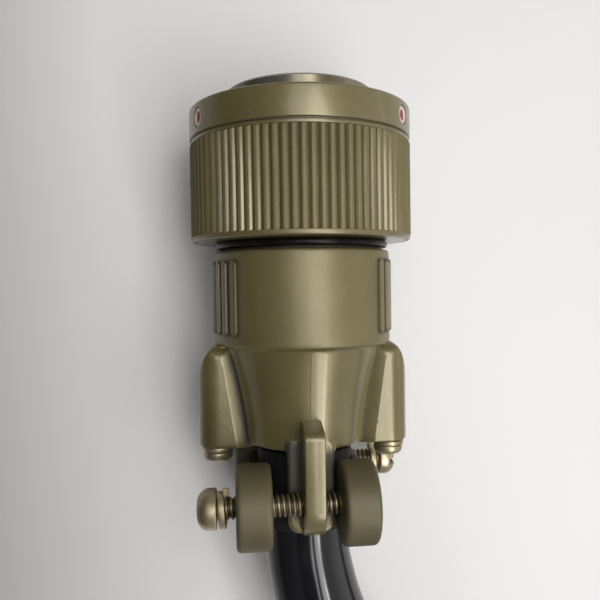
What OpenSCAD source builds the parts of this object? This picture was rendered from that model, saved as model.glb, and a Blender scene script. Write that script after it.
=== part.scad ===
// Circular bayonet plug: knurled coupling nut, cast endbell, two-saddle cable clamp and a cable tail

/* [Mating barrel] */
// Outside diameter of the mating barrel
barrel_d = 25; // [24:0.1:26]
// Wall of the mating barrel
barrel_wall = 1.2; // [1:0.1:1.6]
// Length of the barrel from its rim to the flange
barrel_len = 17; // [15:0.5:18]
// Bevel on the barrel's rim
rim_bevel = 0.3; // [0.1:0.1:0.5]
// Width of the polarising keyway
keyway_w = 3; // [2:0.1:4]
// Depth of the polarising keyway
keyway_depth = 0.5; // [0.3:0.1:0.7]
// Thickness of the flange that the spring pushes on
flange_t = 2; // [1.5:0.1:2.5]
// Radial gap between that flange and the nut's inside
flange_gap = 0.5; // [0.3:0.1:1]
// Height of the journal that the nut turns on above the barrel's outside
journal_step = 1.2; // [1.1:0.05:1.5]
// Depth of the threaded spigot below the journal
spigot_step = 0.4; // [0.2:0.05:0.6]
// Length of the spigot inside the endbell
spigot_len = 8; // [6:0.5:10]

/* [Insert and contacts] */
// Depth of the insert's face below the barrel's rim
insert_recess = 0.8; // [0.4:0.1:1.5]
// Length of the front insert
insert_len = 22.7; // [20:0.1:24]
// Diameter of the circle of outer contacts
contact_pcd = 11.2; // [10:0.1:12]
// Outside diameter of a socket contact
contact_d = 2.6; // [2.4:0.1:2.8]
// Bore of a socket contact
socket_bore_d = 1.6; // [1.2:0.1:1.8]
// Depth of the socket's bore
socket_depth = 9; // [7:0.5:12]
// Depth of a contact's end below the insert's face
contact_recess = 0.6; // [0.2:0.1:1]
// Diameter of a contact's retaining collar
collar_d = 3.4; // [3.2:0.1:3.8]
// Length of a contact's retaining collar
collar_len = 1.9; // [1:0.1:3]
// Length of a contact's crimp end behind the insert
crimp_len = 4.5; // [3:0.5:6]
// Thickness of the ferrule behind the grommet
ferrule_t = 2.2; // [1.5:0.1:3]
// Thickness of the gasket at the end of the spigot
gasket_t = 0.8; // [0.5:0.1:1.2]
// Thickness of the face seal in front of the flange
face_seal_t = 1.5; // [1:0.1:2.5]
// Radial width of the face seal
face_seal_w = 1.9; // [1.5:0.1:2.1]
// Radial gap between the face seal and the barrel
face_seal_gap = 0.6; // [0.5:0.1:0.8]

/* [Coupling nut] */
// Radial room between the barrel and the nut for the mating shell
mating_room = 3.9; // [3.5:0.1:4.5]
// Length of the nut
nut_len = 21.6; // [20.5:0.1:24]
// Distance of the nut's front behind the barrel's rim
nut_setback = 3.2; // [2:0.1:4]
// Wall of the nut round that room, over the knurl
nut_wall = 2.1; // [1.8:0.1:2.4]
// Thickness of the nut's inner rear flange
nut_flange_t = 2; // [1.6:0.1:2.4]
// Length of the smooth front band
band_len = 4.8; // [4:0.1:6]
// Bevel on the band's front edge
band_bevel = 0.5; // [0.2:0.1:0.8]
// Width of the groove behind the band
relief_w = 0.6; // [0.4:0.1:1]
// Depth of the groove behind the band
relief_depth = 0.5; // [0.3:0.1:0.7]
// Number of knurl ribs
knurl_count = 82; // [60:1:100]
// Depth of the knurl
knurl_depth = 0.5; // [0.3:0.05:0.7]
// Part of the knurl's pitch that is rib
knurl_land = 0.6; // [0.4:0.05:0.7]
// Bevel on the knurl's rear edge
knurl_bevel = 0.6; // [0.3:0.1:1]
// Diameter of a bayonet pin
pin_d = 3; // [2.4:0.1:3.4]
// How far a bayonet pin stands into the nut
pin_reach = 1.8; // [1.2:0.1:2.4]
// Distance of the bayonet pins behind the nut's front
pin_inset = 2.5; // [2.2:0.1:2.8]
// Diameter of the colour mark sunk in a pin's end
pin_mark_d = 1.9; // [1.4:0.1:2.2]
// Depth of the colour mark
pin_mark_depth = 0.35; // [0.2:0.05:0.6]
// Angle of the first bayonet pin from the top
pin_angle = -65; // [-90:1:90]

/* [Spring and retaining ring] */
// Thickness of the thrust washer
thrust_t = 0.7; // [0.5:0.1:1]
// Thickness of the wave spring's strip
wave_t = 0.45; // [0.3:0.05:0.6]
// Number of waves
wave_count = 3; // [3:1:5]
// Thickness of the retaining ring
ring_t = 1.2; // [1:0.1:1.6]
// Overlap of the retaining ring on the nut
ring_overlap = 0.8; // [0.5:0.1:0.9]
// Depth of the retaining ring's groove in the spigot
ring_depth = 0.7; // [0.4:0.1:0.9]
// Opening of the retaining ring in degrees
ring_split = 24; // [10:1:40]

/* [Endbell] */
// Wall of the endbell's cylinder round the spigot
endbell_wall = 1.45; // [1.3:0.05:2]
// Length of the endbell's cylinder
endbell_len = 15.15; // [14:0.05:18]
// Gap between the retaining ring and the endbell
endbell_gap = 0.4; // [0.2:0.1:0.8]
// Bevel on the endbell's front edge
endbell_bevel = 0.3; // [0.1:0.1:0.5]
// Rounding at the rear edge of the cylinder
step_round = 1; // [0.5:0.1:1.5]
// Diameter of the bell under the cylinder
bell_top_d = 27.2; // [26.6:0.1:27.4]
// Diameter of the bell's lower end
bell_end_d = 18.6; // [18.4:0.1:20]
// Length of the bell
bell_len = 16.7; // [15:0.1:20]
// Radius of the bell's flared outline
bell_flare_r = 54; // [45:1:80]
// Wall of the bell at its wide end
bell_wall = 2.4; // [1.8:0.1:3]
// Number of grip ribs on each side
grip_count = 9; // [5:1:11]
// Angle between grip ribs
grip_pitch = 9.6; // [8:0.1:12]
// Width of a grip rib
grip_w = 1.4; // [0.8:0.1:1.6]
// Length of a grip rib
grip_len = 12.2; // [8:0.1:13]
// Height of a grip rib
grip_h = 0.35; // [0.2:0.05:0.5]
// Distance of the grip ribs behind the endbell's front
grip_inset = 1.6; // [1:0.1:2]

/* [Screw bosses] */
// Distance of a boss's middle from the axis
boss_x = 13.4; // [13:0.1:14]
// Radius of a boss
boss_r = 4.2; // [4:0.1:4.6]
// Distance of a boss's round top behind the cylinder
boss_top = 1.2; // [0.8:0.1:3]
// How far a boss ends below the bell
boss_drop = 0.6; // [0.2:0.1:1]
// Thickness of the web between a boss and the bell
web_t = 8; // [3:0.1:8.2]
// How far the web rises beside a boss's round top
web_rise = 2; // [0:0.1:2.6]
// Distance of a boss screw from the axis
boss_screw_x = 14.7; // [14.2:0.1:15]
// Diameter of a boss screw
boss_screw_d = 2.85; // [2.5:0.05:3]
// Length of a boss screw under its head
boss_screw_len = 11; // [8:0.5:13]
// Diameter of a boss screw's head
boss_head_d = 4.9; // [4.5:0.1:5.2]
// Height of a boss screw's head
boss_head_h = 1.6; // [1.2:0.1:2]
// Diameter of a boss screw's lock washer
boss_washer_d = 5.4; // [5:0.1:5.6]
// Thickness of a boss screw's lock washer
boss_washer_t = 0.75; // [0.5:0.05:1]
// Rise of a boss screw's lock washer round its turn
boss_washer_rise = 0.2; // [0.1:0.05:0.4]

/* [Clamp lugs] */
// Thickness of a lug's blade
lug_t = 3.2; // [2.4:0.1:4]
// Width of the flange behind a lug's blade
lug_flange_w = 7.5; // [6:0.1:7.8]
// Thickness of the flange behind a lug's blade
lug_flange_t = 1.4; // [1:0.1:2]
// Rounding at the flange's lower corners
lug_flange_round = 2; // [1:0.1:2.5]
// Length of the flange below the bell
lug_flange_len = 12.9; // [11:0.1:14]
// Gap between the flange and the bushing
lug_flange_gap = 0.7; // [0.4:0.1:1]
// Distance of a lug's front face in front of its screw
lug_front = 3.5; // [3:0.1:4]
// Radius of a lug's round lower end
lug_nose_r = 5.2; // [4.4:0.1:5.4]
// Height of a lug's shoulder above the bell's lower end
lug_rise = 5.4; // [4:0.1:7]
// Height of a lug's front corner above the bell's lower end
lug_corner_rise = 2.8; // [1.5:0.1:3.2]
// Rounding of a lug's front corner
lug_corner_r = 1.3; // [0.8:0.1:2]

/* [Cable clamp] */
// Distance of the clamp screws from the axis
clamp_axis_r = 12; // [11.6:0.1:13]
// Distance of the clamp screws below the bell
clamp_drop = 7.4; // [7.4:0.1:9]
// Diameter of a clamp screw
clamp_screw_d = 3.5; // [3:0.1:4]
// Length of a clamp screw under its head
clamp_screw_len = 24; // [22:0.5:28]
// Diameter of a clamp screw's head
clamp_head_d = 6.6; // [6:0.1:7]
// Height of a clamp screw's head
clamp_head_h = 3; // [2:0.1:3.4]
// Clear room round a clamp screw in a lug
lug_hole_clear = 0.3; // [0.15:0.05:0.5]
// Clear room round a clamp screw in the saddle under its head
saddle_hole_clear = 0.2; // [0.1:0.05:0.4]
// Diameter of a clamp screw's lock washer
clamp_washer_d = 6.3; // [5.8:0.1:6.8]
// Thickness of a clamp screw's lock washer
clamp_washer_t = 1; // [0.8:0.1:1.2]
// Rise of a clamp screw's lock washer round its turn
clamp_washer_rise = 0.9; // [0.5:0.1:1.2]
// Gap between a clamp screw's lock washer and its saddle
clamp_slack = 0.9; // [0.2:0.1:1.2]
// How much further the rear clamp screw stands out than the front one
rear_screw_extra = 3.1; // [0:0.1:4]
// Thickness of a saddle
saddle_t = 5.4; // [5.2:0.1:6.4]
// Radius of a saddle's round ends about the screws
saddle_end_r = 6.5; // [6:0.1:6.8]
// Height of a saddle's strap between its round ends
strap_h = 8; // [6:0.1:8]
// Rounding on a saddle's edges
saddle_edge = 0.7; // [0.4:0.1:1.2]
// Distance between the saddles' inner faces
saddle_gap = 10.6; // [10.4:0.1:12]
// Shift of the pair of saddles to the left
clamp_shift = 1.2; // [0:0.1:1.3]
// Clear room between a saddle and the bushing
bushing_clear = 0.1; // [0.05:0.05:0.4]

/* [Cable] */
// Diameter of the cable's jacket
cable_d = 14.2; // [12:0.1:14.4]
// Wall of the rubber bushing in the clamp
bushing_wall = 0.85; // [0.5:0.05:1]
// Gap between the bosses' lower ends and the rubber bushing
bushing_gap = 0.2; // [0.1:0.1:0.5]
// Length of the rubber bushing
bushing_len = 12.9; // [11:0.1:14]
// Clear room round the cable where it leaves the bell
cable_hole_clear = 0.3; // [0.1:0.1:0.5]
// Diameter of one core wire
wire_d = 2.6; // [2:0.1:2.7]
// Radius of the circle of core wires inside the jacket
wire_ring_r = 2.9; // [2.8:0.1:3.4]
// Length of the shortest free lead at the far end
lead_len = 20; // [10:1:30]
// Bend radius of the free leads
lead_bend_r = 160; // [120:10:400]
// Length of the bare end of a free lead
lead_tip_len = 6; // [3:0.5:10]
// Diameter of the bare end of a free lead
lead_tip_d = 1.5; // [1:0.1:1.8]

/* [Hidden] */
$fn = 64;

// Clearances
fit = 0.05;
seat = 0.02;
run_fit = 0.06;
web_sink = 1.5;
cut = 1;

// Radii
barrel_r = barrel_d / 2;
barrel_ir = barrel_r - barrel_wall;
face_seal_ir = barrel_r + face_seal_gap;
journal_r = barrel_r + journal_step;
spigot_r = journal_r - spigot_step;
groove_r = spigot_r - ring_depth;
insert_r = barrel_ir - fit;
contact_r = contact_d / 2;
collar_r = collar_d / 2;
wire_r = wire_d / 2;
cavity_r = barrel_r + mating_room;
nut_r = cavity_r + nut_wall;
nut_hole_r = journal_r + run_fit;
flange_r = cavity_r - flange_gap;
pin_r = pin_d / 2;
endbell_r = spigot_r + fit + endbell_wall;
bell_top_r = bell_top_d / 2;
bell_end_r = bell_end_d / 2;
cable_r = cable_d / 2;
cable_hole_r = cable_r + cable_hole_clear;
bushing_r = cable_r + fit + bushing_wall;
clamp_screw_r = clamp_screw_d / 2;
boss_screw_r = boss_screw_d / 2;
ferrule_bore_r = contact_pcd / 2 + wire_r + fit;
lug_flange_r = bushing_r + lug_flange_gap;
lug_front_r = clamp_axis_r + lug_front;
lug_nose_axis_r = lug_front_r - lug_nose_r;
groove_grip_r = bushing_r + clamp_shift + bushing_clear;

// Heights along the axis, from the barrel's rim down
z_flange_front = -barrel_len;
z_flange_back = z_flange_front - flange_t;
z_nut_front = -nut_setback;
z_nut_back = z_nut_front - nut_len;
z_nut_seat = z_nut_back + nut_flange_t;
z_knurl_front = z_nut_front - band_len - relief_w;
z_pin = z_nut_front - pin_inset;
z_thrust_front = z_nut_seat + fit + thrust_t;
z_ring_front = z_nut_back - fit;
z_ring_back = z_ring_front - ring_t;
z_endbell = z_ring_back - endbell_gap;
z_spigot_end = z_endbell - spigot_len;
z_gasket_back = z_spigot_end - gasket_t;
z_ferrule_back = z_spigot_end - ferrule_t;
z_step = z_endbell - endbell_len;
z_bell_end = z_step - bell_len;
z_boss_end = z_bell_end - boss_drop;
z_boss_ball = z_step - boss_top - boss_r;
z_clamp = z_bell_end - clamp_drop;
z_lug_top = z_bell_end + lug_rise;
z_lug_corner = z_bell_end + lug_corner_rise - lug_corner_r;
z_insert_front = -insert_recess;
z_insert_back = z_insert_front - insert_len;
z_contact_front = z_insert_front - contact_recess;
z_crimp_end = z_insert_back - crimp_len;
z_bushing_front = z_boss_end - bushing_gap;

// Clamp screw places, from the saddles' outer faces
saddle_out_x = saddle_gap / 2 + saddle_t;
clamp_head_x = saddle_out_x + clamp_slack + clamp_washer_t + clamp_washer_rise + fit;

// Screw heads: rounded part of their height, and their slots
head_round = 0.6;
slot_w = 1.1;
slot_depth = 1.1;
slot_turn = 12;
boss_slot_w = 0.8;
boss_slot_depth = 0.7;
boss_slot_turn = 35;

// Lock washers and wave spring: turn of the washers and steps round a turn
washer_turn = 348;
washer_steps = 30;
wave_steps = 24;

// Contact places: one in the middle and a ring round it
CONTACTS = ["a", "b", "c", "d", "e", "f", "g"];
ring_contacts = len(CONTACTS) - 1;
contact_turn = 30;
contact_step = 360 / ring_contacts;
pin_count = 3;
wire_bend_len = 1.5;
wire_bend_share = 0.1;

// Cable route in the lying part's frame: from inside the bell, down to the table and round to the right
ROUTE = [
    [0, -48, 0], [0, -60, 0], [0, -74, 0], [1, -82, 0.5], [3.5, -91, 0.9], [7.5, -100, 0.6],
    [13, -110, -1], [21, -119, -3.5], [31, -127, -6.5], [43, -132, -9], [56, -134, -11],
    [69, -133, -11.4], [81, -130, -11.4], [93, -124, -11.4], [103, -116, -11.4],
    [112, -106, -11.4], [118, -95, -11.4], [122, -83, -11.4], [124, -70, -11.4],
    [124, -57, -11.4], [124, -44, -11.4], [124, -31, -11.4], [124, -18, -11.4]
];
cable_sides = 12;
wire_sides = 10;
z_jacket = ROUTE[0][1];
cable_end = ROUTE[len(ROUTE) - 1];

// Colours
olive = [0.42, 0.38, 0.26];
dark_olive = [0.24, 0.23, 0.17];
steel = [0.62, 0.6, 0.55];
brass = [0.78, 0.6, 0.3];
rubber = [0.12, 0.12, 0.13];
insert_green = [0.2, 0.22, 0.2];
nylon = [0.85, 0.83, 0.76];
copper = [0.8, 0.55, 0.4];

// The parts are drawn upright, mating end up and front towards -Y, then laid down mating end towards +Y
module lay() rotate([-90, 0, 0]) children();

// Half turn about the middle of the pair of saddles
module half_turn()
    translate([-clamp_shift, 0, 0])
        rotate([0, 0, 180])
            translate([clamp_shift, 0, 0])
                children();

// Tube between two heights
module tube(r_out, r_in, z_top, z_bottom) {
    rotate_extrude()
        translate([r_in, z_bottom])
            square([r_out - r_in, z_top - z_bottom]);
}

// Rod between two heights
module rod(r, z_top, z_bottom) translate([0, 0, z_bottom]) cylinder(r = r, h = z_top - z_bottom);

// Place of contact i, the last one in the middle
function contact_spot(i, ring_r) =
    let (a = contact_turn + i * contact_step)
    i == ring_contacts ? [0, 0] : ring_r * [cos(a), sin(a)];

// Flat outline of a bar with round ends
module pill(w, h) {
    square([w, h - w], center = true);
    for (side = [-1, 1])
        translate([0, side * (h - w) / 2])
            circle(d = w);
}

// Rectangle with four round corners, its middle at the origin
module round_rect(w, h, r) {
    square([w - 2 * r, h], center = true);
    square([w, h - 2 * r], center = true);
    for (x = [-1, 1], y = [-1, 1])
        translate([x * (w / 2 - r), y * (h / 2 - r)])
            circle(r = r);
}

// Slotted screw with a round-edged pan head: head above z = 0, shank below
module pan_screw(d, length, head_d, head_h, slot_width, slot_deep) {
    edge = head_h * head_round;
    tip_bevel = d / 8;
    difference() {
        union() {
            rotate_extrude() {
                square([head_d / 2 - edge, head_h]);
                square([head_d / 2, head_h - edge]);
                translate([head_d / 2 - edge, head_h - edge])
                    intersection() {
                        circle(r = edge);
                        square(edge);
                    }
            }
            rotate_extrude()
                polygon([
                    [0, -length], [d / 2 - tip_bevel, -length], [d / 2, tip_bevel - length],
                    [d / 2, 0], [0, 0]
                ]);
        }
        translate([0, 0, head_h])
            cube([head_d + cut, slot_width, 2 * slot_deep], center = true);
    }
}

// Triangles of a strip of rings, four corners a ring, closed into a loop or capped at its ends
function ring_sides(rings, corners, loops) = [
    for (i = [0 : rings - (loops ? 1 : 2)], j = [0 : corners - 1], half = [0, 1])
        let (
            k = (j + 1) % corners,
            a = i * corners,
            b = ((i + 1) % rings) * corners
        )
        half == 0 ? [a + j, b + j, b + k] : [a + j, b + k, a + k]
];
function ring_caps(rings, corners) = [
    [for (j = [0 : corners - 1]) j],
    [for (j = [corners - 1 : -1 : 0]) (rings - 1) * corners + j]
];
function strip_corners(a, z, r_in, r_out, t) = [
    for (c = [[r_in, 0], [r_out, 0], [r_out, t], [r_in, t]])
        [c[0] * cos(a), c[0] * sin(a), z + c[1]]
];

// Split lock washer, rising round one turn from z = 0
module split_washer(d, bore_d, t, rise) {
    points = [
        for (i = [0 : washer_steps])
            let (part = i / washer_steps)
            for (p = strip_corners(washer_turn * part, rise * part, bore_d / 2, d / 2, t)) p
    ];
    rings = washer_steps + 1;
    polyhedron(points, concat(ring_sides(rings, 4, false), ring_caps(rings, 4)), convexity = 4);
}

// Wave spring of a given height, from z = 0 up
module wave_ring(r_in, r_out, t, height, waves) {
    steps = wave_steps * waves;
    lift = (height - t) / 2;
    points = [
        for (i = [0 : steps - 1])
            let (a = 360 * i / steps)
            for (p = strip_corners(a, lift * (1 + cos(waves * a)), r_in, r_out, t)) p
    ];
    polyhedron(points, ring_sides(steps, 4, true), convexity = 8);
}

module plug_shell() color(dark_olive) lay() {
    difference() {
        rotate_extrude()
            polygon([
                [barrel_ir, 0], [barrel_r - rim_bevel, 0], [barrel_r, -rim_bevel],
                [barrel_r, z_flange_front], [flange_r, z_flange_front],
                [flange_r, z_flange_back], [journal_r, z_flange_back],
                [journal_r, z_ring_front + seat], [groove_r, z_ring_front + seat],
                [groove_r, z_ring_back - seat], [spigot_r, z_ring_back - seat],
                [spigot_r, z_spigot_end], [barrel_ir, z_spigot_end]
            ]);
        translate([-keyway_w / 2, barrel_r - keyway_depth, z_flange_front + face_seal_t + cut])
            cube([keyway_w, barrel_r, barrel_len]);
    }
}

module front_insert() color(insert_green) lay() {
    difference() {
        rod(insert_r, z_insert_front, z_insert_back);
        for (i = [0 : ring_contacts])
            translate(contact_spot(i, contact_pcd / 2)) {
                rod(contact_r + fit, z_insert_front + cut, z_insert_back - cut);
                rod(collar_r + fit, z_insert_back + collar_len + fit, z_insert_back - cut);
            }
    }
}

module rear_grommet() color(rubber) lay() {
    difference() {
        rod(insert_r, z_insert_back - fit, z_spigot_end);
        for (i = [0 : ring_contacts])
            translate(contact_spot(i, contact_pcd / 2))
                rod(max(contact_r, wire_r) + fit, z_insert_back + cut, z_spigot_end - cut);
    }
}

module grommet_ferrule() color(nylon) lay()
    tube(insert_r, ferrule_bore_r, z_spigot_end - seat, z_ferrule_back);

module face_seal() color(rubber) lay()
    tube(face_seal_ir + face_seal_w, face_seal_ir, z_flange_front + face_seal_t, z_flange_front + seat);

module endbell_gasket() color(rubber) lay()
    tube(spigot_r - fit, insert_r + 2 * fit, z_spigot_end - seat, z_gasket_back);

module socket_contact(i) color(brass) lay() translate(contact_spot(i, contact_pcd / 2)) {
    difference() {
        union() {
            rod(contact_r, z_contact_front, z_crimp_end);
            rod(collar_r, z_insert_back + collar_len, z_insert_back);
        }
        rod(socket_bore_d / 2, z_contact_front + cut, z_contact_front - socket_depth);
    }
}

module wave_spring() color(steel) lay() translate([0, 0, z_thrust_front + seat])
    wave_ring(
        journal_r + 4 * run_fit, flange_r - fit, wave_t,
        z_flange_back - z_thrust_front - 2 * seat, wave_count
    );

module thrust_washer() color(steel) lay()
    tube(cavity_r - 4 * run_fit, journal_r + run_fit, z_thrust_front, z_nut_seat + fit);

module retaining_ring() color(dark_olive) lay() rotate([0, 0, 90 + ring_split / 2])
    rotate_extrude(angle = 360 - ring_split)
        translate([groove_r + seat, z_ring_back])
            square([nut_hole_r + ring_overlap - groove_r - seat, ring_t]);

// Outline of the knurl: flat-topped ribs with sloping flanks
function knurl_points() =
    let (
        pitch = 360 / knurl_count,
        tip = pitch * knurl_land / 2,
        root = (tip + pitch / 2) / 2
    )
    [
        for (i = [0 : knurl_count - 1], c = [[-root, knurl_depth], [-tip, 0], [tip, 0], [root, knurl_depth]])
            (nut_r - c[1]) * [cos(i * pitch + c[0]), sin(i * pitch + c[0])]
    ];

// Points a child out from the axis towards bayonet pin i, counted from the top
module at_pin(i)
    rotate([0, 0, -90 + pin_angle + i * 360 / pin_count])
        translate([0, 0, z_pin])
            rotate([0, 90, 0])
                children();

module coupling_nut() color(olive) lay() {
    core_r = nut_r - max(knurl_depth, relief_depth);
    difference() {
        union() {
            rotate_extrude()
                polygon([
                    [0, z_nut_front], [nut_r - band_bevel, z_nut_front], [nut_r, z_nut_front - band_bevel],
                    [nut_r, z_nut_front - band_len], [core_r, z_nut_front - band_len],
                    [core_r, z_knurl_front - cut], [0, z_knurl_front - cut]
                ]);
            intersection() {
                translate([0, 0, z_nut_back])
                    linear_extrude(z_knurl_front - z_nut_back)
                        polygon(knurl_points());
                rotate_extrude()
                    polygon([
                        [0, z_knurl_front + cut], [nut_r + cut, z_knurl_front + cut],
                        [nut_r + cut, z_nut_back + knurl_bevel + cut],
                        [nut_r - knurl_bevel, z_nut_back], [0, z_nut_back]
                    ]);
            }
        }
        rod(nut_hole_r, z_nut_seat + cut, z_nut_back - cut);
        rod(cavity_r, z_nut_front + cut, z_nut_seat);
        for (i = [0 : pin_count - 1])
            at_pin(i)
                rod(pin_r + seat, nut_r + cut, cavity_r - cut);
    }
}

module bayonet_pin(i) color(steel) lay() at_pin(i - 1) {
    face = nut_r * cos(asin(pin_r / nut_r));
    difference() {
        rod(pin_r, face, cavity_r - pin_reach);
        rod(pin_mark_d / 2, face + cut, face - pin_mark_depth);
    }
}

// Corner of a lug between its sloping shoulder and its front: the shoulder touches the corner's circle
lug_shoulder = [bell_end_r, z_lug_top];
lug_corner = [lug_front_r - lug_corner_r, z_lug_corner];
function touch_point(from, middle, r) =
    let (
        d = from - middle,
        a = atan2(d[1], d[0]) - acos(r / norm(d))
    )
    middle + r * [cos(a), sin(a)];

// Blade of a lug, seen from its side
module lug_blade() {
    polygon([
        lug_shoulder, touch_point(lug_shoulder, lug_corner, lug_corner_r), lug_corner,
        [lug_front_r, z_lug_corner], [lug_front_r, z_clamp], [lug_nose_axis_r, z_clamp],
        [lug_nose_axis_r, z_clamp - lug_nose_r], [lug_flange_r, z_clamp - lug_nose_r],
        [lug_flange_r, z_bell_end], [bell_end_r, z_bell_end]
    ]);
    translate(lug_corner)
        circle(r = lug_corner_r);
    difference() {
        translate([lug_nose_axis_r, z_clamp])
            circle(r = lug_nose_r);
        translate([0, z_clamp - lug_nose_r - cut])
            square([lug_flange_r, 2 * (lug_nose_r + cut)]);
    }
}

// Flange behind a lug's blade, seen from the front
module lug_flange() {
    sink = web_sink;
    translate([0, z_bell_end - (lug_flange_len - sink) / 2])
        round_rect(lug_flange_w, lug_flange_len + sink, lug_flange_round);
}

module lug() {
    rotate([0, 0, -90])
        rotate([90, 0, 0])
            linear_extrude(lug_t, center = true)
                lug_blade();
    rotate([90, 0, 0])
        translate([0, 0, lug_flange_r])
            linear_extrude(lug_flange_t)
                lug_flange();
}

// Bell below the cylinder: a cone whose outline is flared by a large circle
module bell_outline() {
    top = [bell_top_r, z_step];
    end = [bell_end_r, z_bell_end];
    half = norm(top - end) / 2;
    along = (end - top) / (2 * half);
    flare_middle = (top + end) / 2 + sqrt(bell_flare_r * bell_flare_r - half * half) * [-along[1], along[0]];
    difference() {
        polygon([[0, z_step], top, end, [0, z_bell_end]]);
        translate(flare_middle)
            circle(r = bell_flare_r, $fn = 360);
    }
}

// Cylinder with a bevelled front edge and a rounded rear edge
module cylinder_outline() {
    polygon([
        [0, z_endbell], [endbell_r - endbell_bevel, z_endbell], [endbell_r, z_endbell - endbell_bevel],
        [endbell_r, z_step + step_round], [endbell_r - step_round, z_step + step_round],
        [endbell_r - step_round, z_step], [0, z_step]
    ]);
    translate([endbell_r - step_round, z_step + step_round])
        circle(r = step_round);
}

module boss() {
    translate([boss_x, 0, 0]) {
        rod(boss_r, z_boss_ball, z_boss_end);
        translate([0, 0, z_boss_ball])
            sphere(r = boss_r);
    }
    translate([bell_end_r - web_sink, -web_t / 2, z_boss_end])
        cube([boss_x - bell_end_r + web_sink, web_t, z_boss_ball + web_rise - z_boss_end]);
}

// Grip ribs on one side of the cylinder
module grip() {
    for (i = [0 : grip_count - 1])
        rotate([0, 0, (i - (grip_count - 1) / 2) * grip_pitch])
            translate([endbell_r - grip_h, 0, z_endbell - grip_inset - grip_len / 2])
                rotate([90, 0, 90])
                    linear_extrude(2 * grip_h)
                        pill(grip_w, grip_len);
}

// Room inside the endbell: spigot, gasket, ferrule, wires and cable
module endbell_room() {
    spigot_bore_r = spigot_r + fit;
    ferrule_seat_r = insert_r + 2 * fit;
    z_shoulder = z_gasket_back - seat;
    z_seat = z_ferrule_back - seat;
    z_neck = z_bell_end + cable_hole_clear + bell_wall;
    rotate_extrude()
        polygon([
            [0, z_endbell + cut], [spigot_bore_r, z_endbell + cut], [spigot_bore_r, z_shoulder],
            [ferrule_seat_r, z_shoulder], [ferrule_seat_r, z_seat],
            [bell_top_r - bell_wall, z_seat], [bell_top_r - bell_wall, z_step],
            [cable_hole_r, z_neck], [cable_hole_r, z_boss_end - cut], [0, z_boss_end - cut]
        ]);
}

module endbell() color(olive) lay() {
    difference() {
        union() {
            rotate_extrude() {
                cylinder_outline();
                bell_outline();
            }
            for (side = [0, 180])
                rotate([0, 0, side]) {
                    boss();
                    grip();
                    lug();
                }
        }
        endbell_room();
        for (side = [0, 180])
            rotate([0, 0, side]) {
                translate([boss_screw_x, 0, 0])
                    rod(boss_screw_r + fit, z_boss_end + boss_screw_len, z_boss_end - cut);
                translate([0, -clamp_axis_r, z_clamp])
                    rotate([0, 90, 0])
                        cylinder(r = clamp_screw_r + lug_hole_clear, h = lug_flange_w + cut, center = true);
            }
    }
}

// Screw and lock washer under the right boss
boss_washer_h = boss_washer_t + boss_washer_rise + 2 * seat;
module at_boss_screw() translate([boss_screw_x, 0, z_boss_end - boss_washer_h]) children();
module boss_screw() color(steel) lay() at_boss_screw() rotate([180, 0, boss_slot_turn])
    pan_screw(boss_screw_d, boss_screw_len, boss_head_d, boss_head_h, boss_slot_w, boss_slot_depth);
module boss_washer() color(steel) lay() at_boss_screw() translate([0, 0, seat])
    split_washer(boss_washer_d, boss_screw_d + 4 * fit, boss_washer_t, boss_washer_rise);

module boss_screw_right() boss_screw();
module boss_screw_left() mirror([1, 0, 0]) boss_screw();
module boss_washer_right() boss_washer();
module boss_washer_left() rotate([0, 180, 0]) mirror([0, 0, 1]) boss_washer();

// Left saddle: round ends about the two screws, a strap between them and a groove for the cable
module saddle() {
    translate([-saddle_gap / 2 - clamp_shift, 0, z_clamp])
        difference() {
            union() {
                for (end = [-1, 1])
                    translate([-saddle_t / 2, end * clamp_axis_r, 0])
                        rotate([0, 90, 0])
                            rotate_extrude()
                                intersection() {
                                    round_rect(2 * saddle_end_r, saddle_t, saddle_edge);
                                    translate([0, -saddle_t])
                                        square([saddle_end_r + cut, 2 * saddle_t]);
                                }
                translate([-saddle_t / 2, clamp_axis_r, 0])
                    rotate([90, 0, 0])
                        linear_extrude(2 * clamp_axis_r)
                            round_rect(saddle_t, strap_h, saddle_edge);
            }
            translate([saddle_gap / 2, 0, -saddle_end_r - cut])
                cylinder(r = groove_grip_r, h = 2 * (saddle_end_r + cut));
            for (hole = [[-1, saddle_hole_clear], [1, run_fit]])
                translate([-saddle_t / 2, hole[0] * clamp_axis_r, 0])
                    rotate([0, 90, 0])
                        cylinder(r = clamp_screw_r + hole[1], h = saddle_t + cut, center = true);
        }
}

// Front screw and lock washer, head to the left; the rear screw is longer and stands out by the extra
module at_front_head(extra)
    translate([-clamp_head_x - clamp_shift - extra, -clamp_axis_r, z_clamp])
        rotate([0, -90, 0])
            children();
module clamp_screw(extra) at_front_head(extra) rotate([0, 0, slot_turn])
    pan_screw(clamp_screw_d, clamp_screw_len + extra, clamp_head_d, clamp_head_h, slot_w, slot_depth);
module clamp_washer(extra) at_front_head(extra)
    translate([0, 0, -clamp_washer_t - clamp_washer_rise - seat])
        split_washer(clamp_washer_d, clamp_screw_d + 4 * fit, clamp_washer_t, clamp_washer_rise);

module clamp_saddle_left() color(olive) lay() saddle();
module clamp_saddle_right() color(olive) lay() half_turn() saddle();
module clamp_screw_front() color(steel) lay() clamp_screw(0);
module clamp_screw_rear() color(steel) lay() half_turn() clamp_screw(rear_screw_extra);
module clamp_washer_front() color(steel) lay() clamp_washer(0);
module clamp_washer_rear() color(steel) lay() half_turn() clamp_washer(rear_screw_extra);

module cable_bushing() color(rubber) lay()
    tube(bushing_r, cable_r + fit, z_bushing_front, z_bushing_front - bushing_len);

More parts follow.
